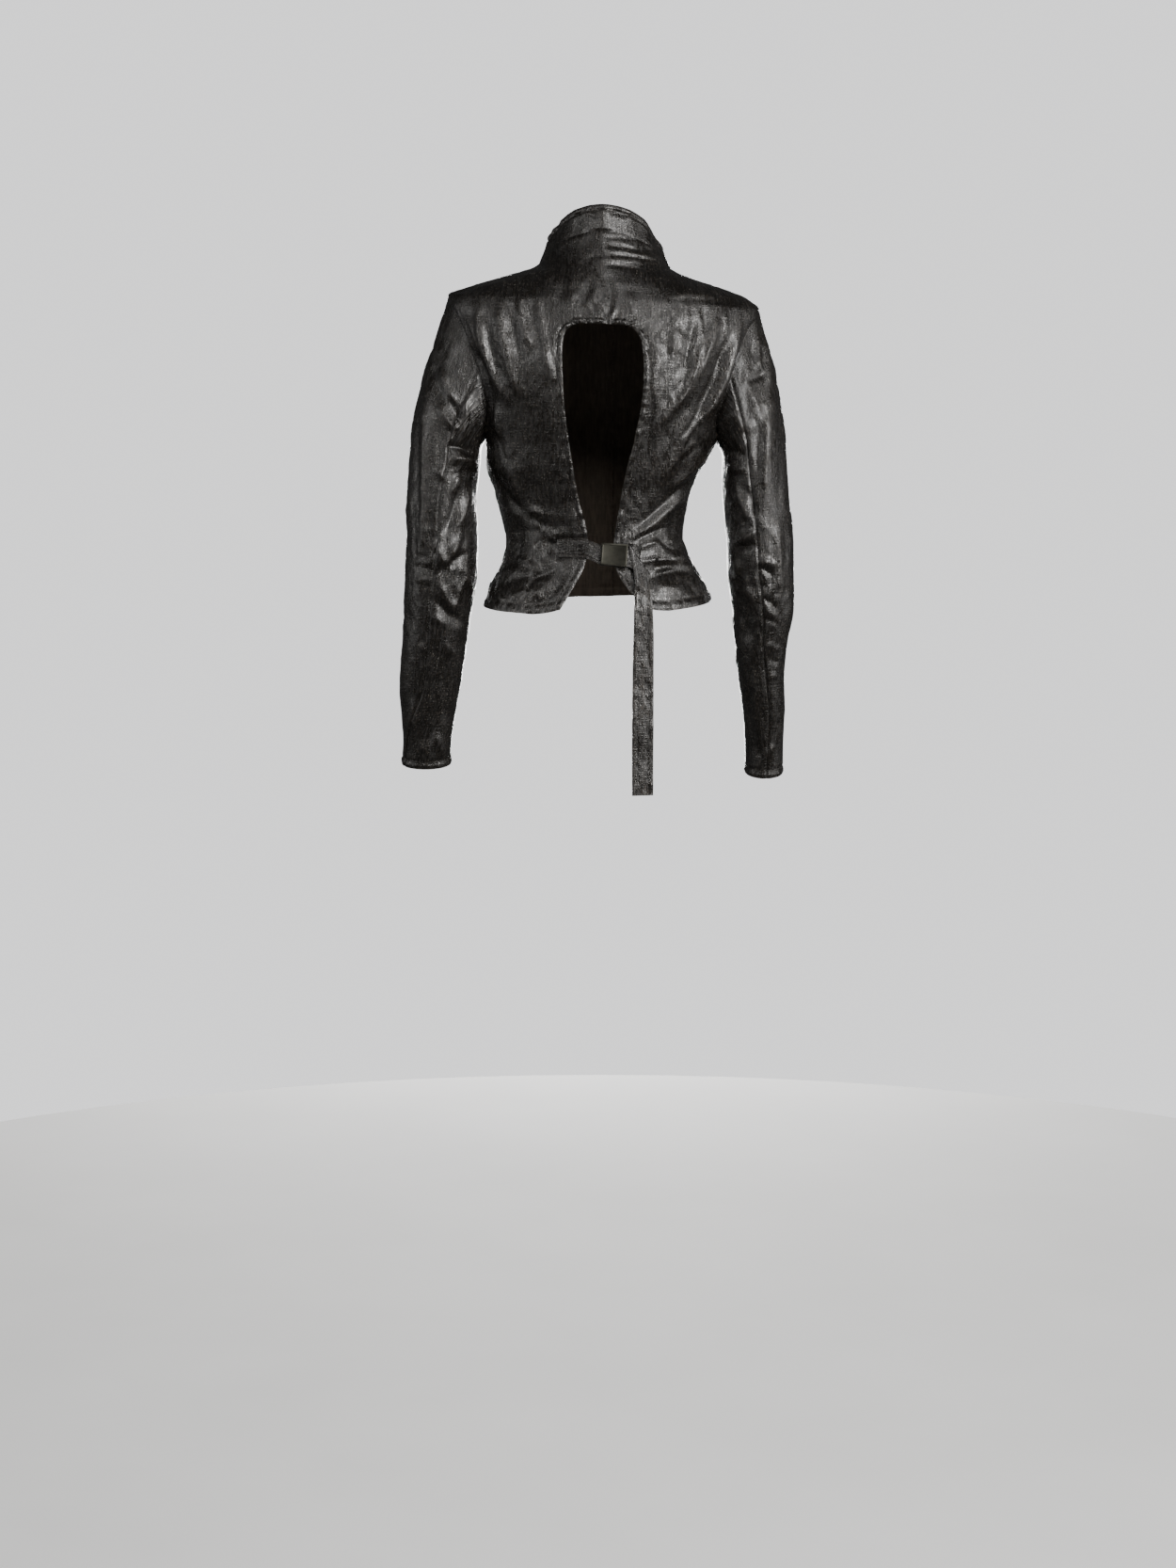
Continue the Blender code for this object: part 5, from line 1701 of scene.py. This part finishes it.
def make_strap():
    """The belt strap: sewn on the left back, through the buckle, folded over and hanging."""
    top, low, out = strap_lines()
    t = np.linspace(0, 1, STRAP_COLUMNS)[None, :, None]
    grid = top[:, None] * (1 - t) + low[:, None] * t
    outs = np.broadcast_to(out[:, None], grid.shape)
    z = grid[..., 2]
    # loose low on the tail, hanging below the crease, and held flat in the buckle
    loose = smooth_step((-440 - z) / 60)
    hanging = smooth_step((-388 - z) / 16)
    clamped = np.exp(-((grid[..., 0] - BUCKLE_X) / 24) ** 4) * (z > -400)
    edge = np.abs(t[..., 0] * 2 - 1)
    waves = noise_at(grid, 70, 8) * 1.6 * loose + crumple_at(grid, 0.5 + 0.5 * loose) * (1 - 0.8 * clamped)
    waves = waves + noise_at(grid, 11, 9, (1.2, 1, 0.5)) * 0.45 * hanging
    waves = waves + noise_at(grid, 6, 15, (1.1, 1, 0.45)) * 0.3 * hanging
    waves = waves - 0.55 * np.exp(-((edge - STRAP_SEAM) / 0.1) ** 2)
    grid = grid + outs * waves[..., None]
    # lighter streaks down the hanging tail: partly rubbed wear and partly a painted highlight standing in for
    # its streaky glints
    wear_and_sheen_streaks = np.clip(noise_at(grid, 15, 12, (1.8, 1, 0.4)) - 0.08, 0, 0.6) * hanging
    seam = np.maximum(smooth_step((edge - 0.9) / 0.1), 0.6 * np.exp(-((edge - STRAP_SEAM) / 0.07) ** 2))
    wear_and_sheen = np.maximum(wear_and_sheen_streaks, seam * np.clip(0.5 + noise_at(grid, 9, 13), 0, 1))
    # below zero the cloth is glossier: the belt's first part is hardly rubbed
    wear_and_sheen = wear_and_sheen - 0.7 * (1 - hanging) * (wear_and_sheen < 0.2)
    obj = cloth_sheet(
        "belt_strap_linen", grid, outs, None, None, wear_and_sheen, thickness=STRAP_THICK * MM, offset=0.0)
    finish_cloth(obj, "belt_strap")
    fold = (len(STRAP) - 1) * BELT_STEPS + 1
    hang = fold + 2 * CREASE_STEPS + 1
    for column in (0, -1):
        for first, last in ((0, fold - 5), (hang + 4, len(grid))):
            middle = grid[first:last, STRAP_COLUMNS // 2]

            def inwards(point):
                return middle[int(np.argmin(np.linalg.norm(middle - point, axis=1)))]

            stitch_row(obj, rail_of(grid[first:last, column]), lambda point: (0, 1, 0), inwards, STRAP_STITCH)


def make_tab():
    """The short tab sewn on the right back that carries the buckle."""
    x = np.linspace(-40, -4, 19)[:, None]
    z = BUCKLE_Z + TAB_WIDE * np.linspace(0.5, -0.5, 11)[None, :] + (x - BUCKLE_X) * 0.07
    grid, out = belt_place(np.broadcast_to(x, z.shape), z, np.full(z.shape, TAB_SEAT + TAB_THICK))
    obj = cloth_sheet("belt_tab_linen", grid, out, thickness=TAB_THICK * MM)
    finish_cloth(obj, "belt_tab")


def buckle_matrix():
    """The buckle's own axes: back along the strap, up its face and out of it."""
    centre, out = belt_place(BUCKLE_X, BUCKLE_Z, BUCKLE_SEAT)
    centre, out = Vector(centre) * MM, Vector(out)
    roll = math.radians(BUCKLE_ROLL)
    along = Vector((math.cos(roll), 0, math.sin(roll)))
    along = (along - out * along.dot(out)).normalized()
    matrix = Matrix((-along, -out.cross(along), out)).transposed().to_4x4()
    matrix.translation = centre
    return matrix


def bar(name, low, high):
    """A block between two corners, given in millimetres."""
    only()
    bpy.ops.mesh.primitive_cube_add(size=1)
    obj = bpy.context.object
    obj.name = name
    for vertex in obj.data.vertices:
        vertex.co = [mix(a, b, c + 0.5) * MM for a, b, c in zip(low, high, vertex.co)]
    return obj


def cut_away(obj, cutter):
    """Cuts one piece out of another and removes it."""
    apply_modifier(obj, "Cut", "BOOLEAN", operation="DIFFERENCE", object=cutter, solver="EXACT")
    bpy.data.objects.remove(cutter, do_unlink=True)


def inset_top(obj, *insets):
    """Insets a piece's top face, each time by a width and a depth in millimetres."""
    only(obj)
    bpy.ops.object.mode_set(mode="EDIT")
    bpy.ops.mesh.select_mode(type="FACE")
    bpy.ops.mesh.select_all(action="DESELECT")
    bpy.ops.object.mode_set(mode="OBJECT")
    for face in obj.data.polygons:
        face.select = face.normal.z > 0.9
    bpy.ops.object.mode_set(mode="EDIT")
    for wide, deep in insets:
        bpy.ops.mesh.inset(thickness=wide * MM, depth=deep * MM)
    bpy.ops.object.mode_set(mode="OBJECT")


def soften_edges(obj, wide, segments):
    """Rounds a piece's edges by a width in millimetres."""
    apply_modifier(obj, "Soft edges", "BEVEL", width=wide * MM, segments=segments, limit_method="ANGLE")


def settle(obj, matrix):
    """Moves a piece's mesh to its place and leaves its object at the origin."""
    obj.data.transform(matrix)
    only(obj)
    bpy.ops.object.shade_smooth_by_angle(angle=math.radians(35))


def make_buckle():
    """A clamp buckle: an open channel that the strap runs through, and its notched cover."""
    matrix = buckle_matrix()
    wide, tall = BUCKLE_WIDE / 2, BUCKLE_TALL / 2
    deep = BUCKLE_PLATE + BUCKLE_CHANNEL
    channel = bar("buckle_channel_metal", (-wide + 1, -tall, 0), (wide - 1, tall, deep))
    cut_away(channel, bar("cutter", (-wide - 5, -tall + 1, BUCKLE_PLATE), (wide + 5, tall - 1, deep + 5)))
    soften_edges(channel, 0.25, 2)
    settle(channel, matrix)
    finish_trim(channel, "gunmetal", "buckle_channel")

    low = deep + COVER_GAP
    cover = bar("buckle_cover_metal", (-wide, -tall, low), (wide, tall, low + BUCKLE_COVER))
    # a flat frame, then a short step down to the plate
    inset_top(cover, (2.2, 0), (0.35, -0.3))
    for at in spaced(-tall + 1.8, tall - 1.8, NOTCHES_DOWN - 1):
        cut_away(cover, bar(
            "notch", (-wide - 1, at - NOTCH_HALF, low - 1), (-wide + 0.9, at + NOTCH_HALF, low + 3)))
    for at in spaced(-wide + 2.2, wide - 2.2, NOTCHES_ALONG - 1):
        cut_away(cover, bar(
            "notch", (at - NOTCH_HALF, -tall - 1, low - 1), (at + NOTCH_HALF, -tall + 0.7, low + 3)))
    soften_edges(cover, 0.34, 2)
    settle(cover, matrix)
    finish_trim(cover, "gunmetal", "buckle_cover")


def make_buttons():
    """Four-hole buttons, modelled once: a dished face, a raised rim and crossed thread."""
    only()
    bpy.ops.mesh.primitive_cylinder_add(vertices=56, radius=BUTTON_RADIUS * MM, depth=BUTTON_THICK * MM)
    pattern = bpy.context.object
    # a flat rim, then the dish
    inset_top(pattern, (1.7, 0), (0.7, -0.7))
    for x in (-BUTTON_HOLES, BUTTON_HOLES):
        for y in (-BUTTON_HOLES, BUTTON_HOLES):
            only()
            bpy.ops.mesh.primitive_cylinder_add(
                vertices=20, radius=HOLE_RADIUS * MM, depth=12 * MM, location=(x * MM, y * MM, 0))
            bpy.ops.object.transform_apply(location=True)
            cut_away(pattern, bpy.context.object)
    soften_edges(pattern, 0.4, 3)
    for number in range(BUTTONS):
        height = TOP_BUTTON - BUTTON_SPACING * number
        turn = turn_at(height, 0, front=True)
        place, out = body_at(np.array([turn]), np.array([height]))
        out = Vector(out[0])
        matrix = Matrix.Translation((Vector(place[0]) + out * (BUTTON_SHANK + BUTTON_THICK / 2)) * MM)
        matrix = matrix @ out.to_track_quat("Z", "Y").to_matrix().to_4x4()
        button = bpy.data.objects.new(f"button_{number + 1}_horn", pattern.data.copy())
        bpy.context.scene.collection.objects.link(button)
        settle(button, matrix)
        finish_trim(button, "horn_button", f"button_{number + 1}")
        thread_cross(matrix)
    bpy.data.objects.remove(pattern, do_unlink=True)


def thread_cross(matrix):
    """The crossed thread that holds a button, remembered with the stitches."""
    level = BUTTON_THICK / 2 - THREAD_SINK
    for sign in (1, -1):
        for nudge in (-THREAD_PAIR, THREAD_PAIR):
            stitch = []
            for along in (-THREAD_REACH, 0, THREAD_REACH):
                local = Vector((along - nudge, sign * along + nudge * sign, level - THREAD_ARCH * abs(along)))
                stitch.append((
                    matrix @ (local * MM) / MM,
                    (matrix.to_3x3() @ Vector((0, 0, 1))).normalized(),
                    (matrix.to_3x3() @ Vector((1, sign, 0))).normalized(),
                ))
            STITCHES.append(stitch)


# ---------------------------------------------------------------- stage


def make_stage():
    """Floor, soft lights and a camera at the photograph's angle."""
    stage = bpy.context.scene.blazer_stage
    only()
    bpy.ops.mesh.primitive_circle_add(
        vertices=96, radius=1.9, fill_type="NGON", location=(0, 0, stage.floor))
    floor = bpy.context.object
    floor.name = "studio_floor"
    floor.data.materials.append(finish_material("studio_floor"))
    floor.visible_glossy = False

    for name, place, size, power, aim in (
        ("key_light", (-2.2, 3.25, 0.5), 1.5, 165, (0, 0, -0.35)),
        ("side_light", (2.4, 2.9, 0.75), 1.4, 36, (0, 0, -0.35)),
        ("right_panel", (-3.5, 0.5, -0.3), 1.7, 34, (0, 0, -0.35)),
        ("left_panel", (3.5, 0.5, -0.3), 1.7, 19, (0, 0, -0.35)),
        ("top_light", (-0.5, 3.0, 2.6), 1.0, 30, (0, 0, -0.2)),
        ("front_light", (0, -3.6, -0.4), 1.7, 160, (0, 0, -0.3)),
    ):
        light = bpy.data.lights.new(name, "AREA")
        light.shape = "DISK"
        light.size = size
        light.energy = power
        lamp = bpy.data.objects.new(name, light)
        lamp.location = place
        lamp.rotation_euler = (Vector(aim) - Vector(place)).to_track_quat("-Z", "Y").to_euler()
        bpy.context.scene.collection.objects.link(lamp)

    world = bpy.data.worlds.new("studio")
    world.use_nodes = True
    tree = world.node_tree
    seen = add_node(tree, "LightPath", output="Is Camera Ray")
    set_inputs(tree, tree.nodes["Background"], {
        "Color": hex_colour("#f1f1f2"),
        "Strength": added_up(tree, (seen, 0.0, 1.0, 0.06, 1.5)),
    })
    bpy.context.scene.world = world

    camera = bpy.data.cameras.new("photo_camera")
    camera.sensor_width = 36
    camera.sensor_fit = "AUTO"
    camera.lens = stage.lens
    camera.clip_end = 100
    viewer = bpy.data.objects.new("photo_camera", camera)
    viewer.location = (0.022, stage.camera_distance, -0.134)
    viewer.rotation_euler = (math.radians(82), 0, math.radians(180))
    bpy.context.scene.collection.objects.link(viewer)
    bpy.context.scene.camera = viewer


# ---------------------------------------------------------------- operators


class BLAZER_OT_body(bpy.types.Operator):
    """Make the back with its opening, and both fronts"""
    bl_idname = "blazer.body"
    bl_label = "Body panels"

    def execute(self, context):
        make_back()
        make_front("front_left", 1, under=True)
        make_front("front_right", -1, under=False)
        return {"FINISHED"}


class BLAZER_OT_collar(bpy.types.Operator):
    """Make the stand collar"""
    bl_idname = "blazer.collar"
    bl_label = "Collar"

    def execute(self, context):
        make_collar()
        return {"FINISHED"}


class BLAZER_OT_sleeves(bpy.types.Operator):
    """Make both two-piece sleeves"""
    bl_idname = "blazer.sleeves"
    bl_label = "Sleeves"

    def execute(self, context):
        make_sleeve("sleeve_left", 1, LEFT_ARM, LEFT_BEHIND, LEFT_AHEAD)
        make_sleeve("sleeve_right", -1, RIGHT_ARM, RIGHT_BEHIND, RIGHT_AHEAD)
        return {"FINISHED"}


class BLAZER_OT_belt(bpy.types.Operator):
    """Make the belt strap and the tab that carries the buckle"""
    bl_idname = "blazer.belt"
    bl_label = "Belt"

    def execute(self, context):
        make_strap()
        make_tab()
        return {"FINISHED"}


class BLAZER_OT_buckle(bpy.types.Operator):
    """Make the clamp buckle"""
    bl_idname = "blazer.buckle"
    bl_label = "Buckle"

    def execute(self, context):
        make_buckle()
        return {"FINISHED"}


class BLAZER_OT_buttons(bpy.types.Operator):
    """Make the buttons of the front closure"""
    bl_idname = "blazer.buttons"
    bl_label = "Buttons"

    def execute(self, context):
        make_buttons()
        return {"FINISHED"}


class BLAZER_OT_stitches(bpy.types.Operator):
    """Make the topstitching that the other pieces have laid out"""
    bl_idname = "blazer.stitches"
    bl_label = "Topstitching"

    def execute(self, context):
        obj = stitch_mesh("topstitching")
        obj.data.materials.append(finish_material("waxed_thread"))
        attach(obj, "root")
        return {"FINISHED"}


class BLAZER_OT_stage(bpy.types.Operator):
    """Make the floor, the lights and the camera"""
    bl_idname = "blazer.stage"
    bl_label = "Stage"

    def execute(self, context):
        make_stage()
        return {"FINISHED"}


OPERATORS = (
    BLAZER_OT_stage, BLAZER_OT_body, BLAZER_OT_collar, BLAZER_OT_sleeves, BLAZER_OT_belt, BLAZER_OT_buckle,
    BLAZER_OT_buttons, BLAZER_OT_stitches,
)


class BLAZER_PT_panel(bpy.types.Panel):
    """The blazer's settings, and a button for each group of pieces"""
    bl_idname = "BLAZER_PT_panel"
    bl_label = "Open-back blazer"
    bl_space_type = "VIEW_3D"
    bl_region_type = "UI"
    bl_category = "Blazer"

    def draw(self, context):
        scene = context.scene
        for group in (scene.blazer_cloth, scene.blazer_trim, scene.blazer_stage):
            for name in group.__annotations__:
                self.layout.prop(group, name)
        for operator in OPERATORS:
            self.layout.operator(operator.bl_idname)


SETTINGS = (
    (BlazerCloth, "blazer_cloth"),
    (BlazerTrim, "blazer_trim"),
    (BlazerStage, "blazer_stage"),
)


def register():
    for group, name in SETTINGS:
        bpy.utils.register_class(group)
        setattr(bpy.types.Scene, name, bpy.props.PointerProperty(type=group))
    for kind in OPERATORS + (BLAZER_PT_panel,):
        bpy.utils.register_class(kind)


def unregister():
    for kind in reversed(OPERATORS + (BLAZER_PT_panel,)):
        bpy.utils.unregister_class(kind)
    for group, name in reversed(SETTINGS):
        delattr(bpy.types.Scene, name)
        bpy.utils.unregister_class(group)


def main():
    register()
    bpy.ops.blazer.stage()
    bpy.ops.blazer.body()
    bpy.ops.blazer.collar()
    bpy.ops.blazer.sleeves()
    bpy.ops.blazer.belt()
    bpy.ops.blazer.buckle()
    bpy.ops.blazer.buttons()
    bpy.ops.blazer.stitches()


if __name__ == "__main__":
    main()
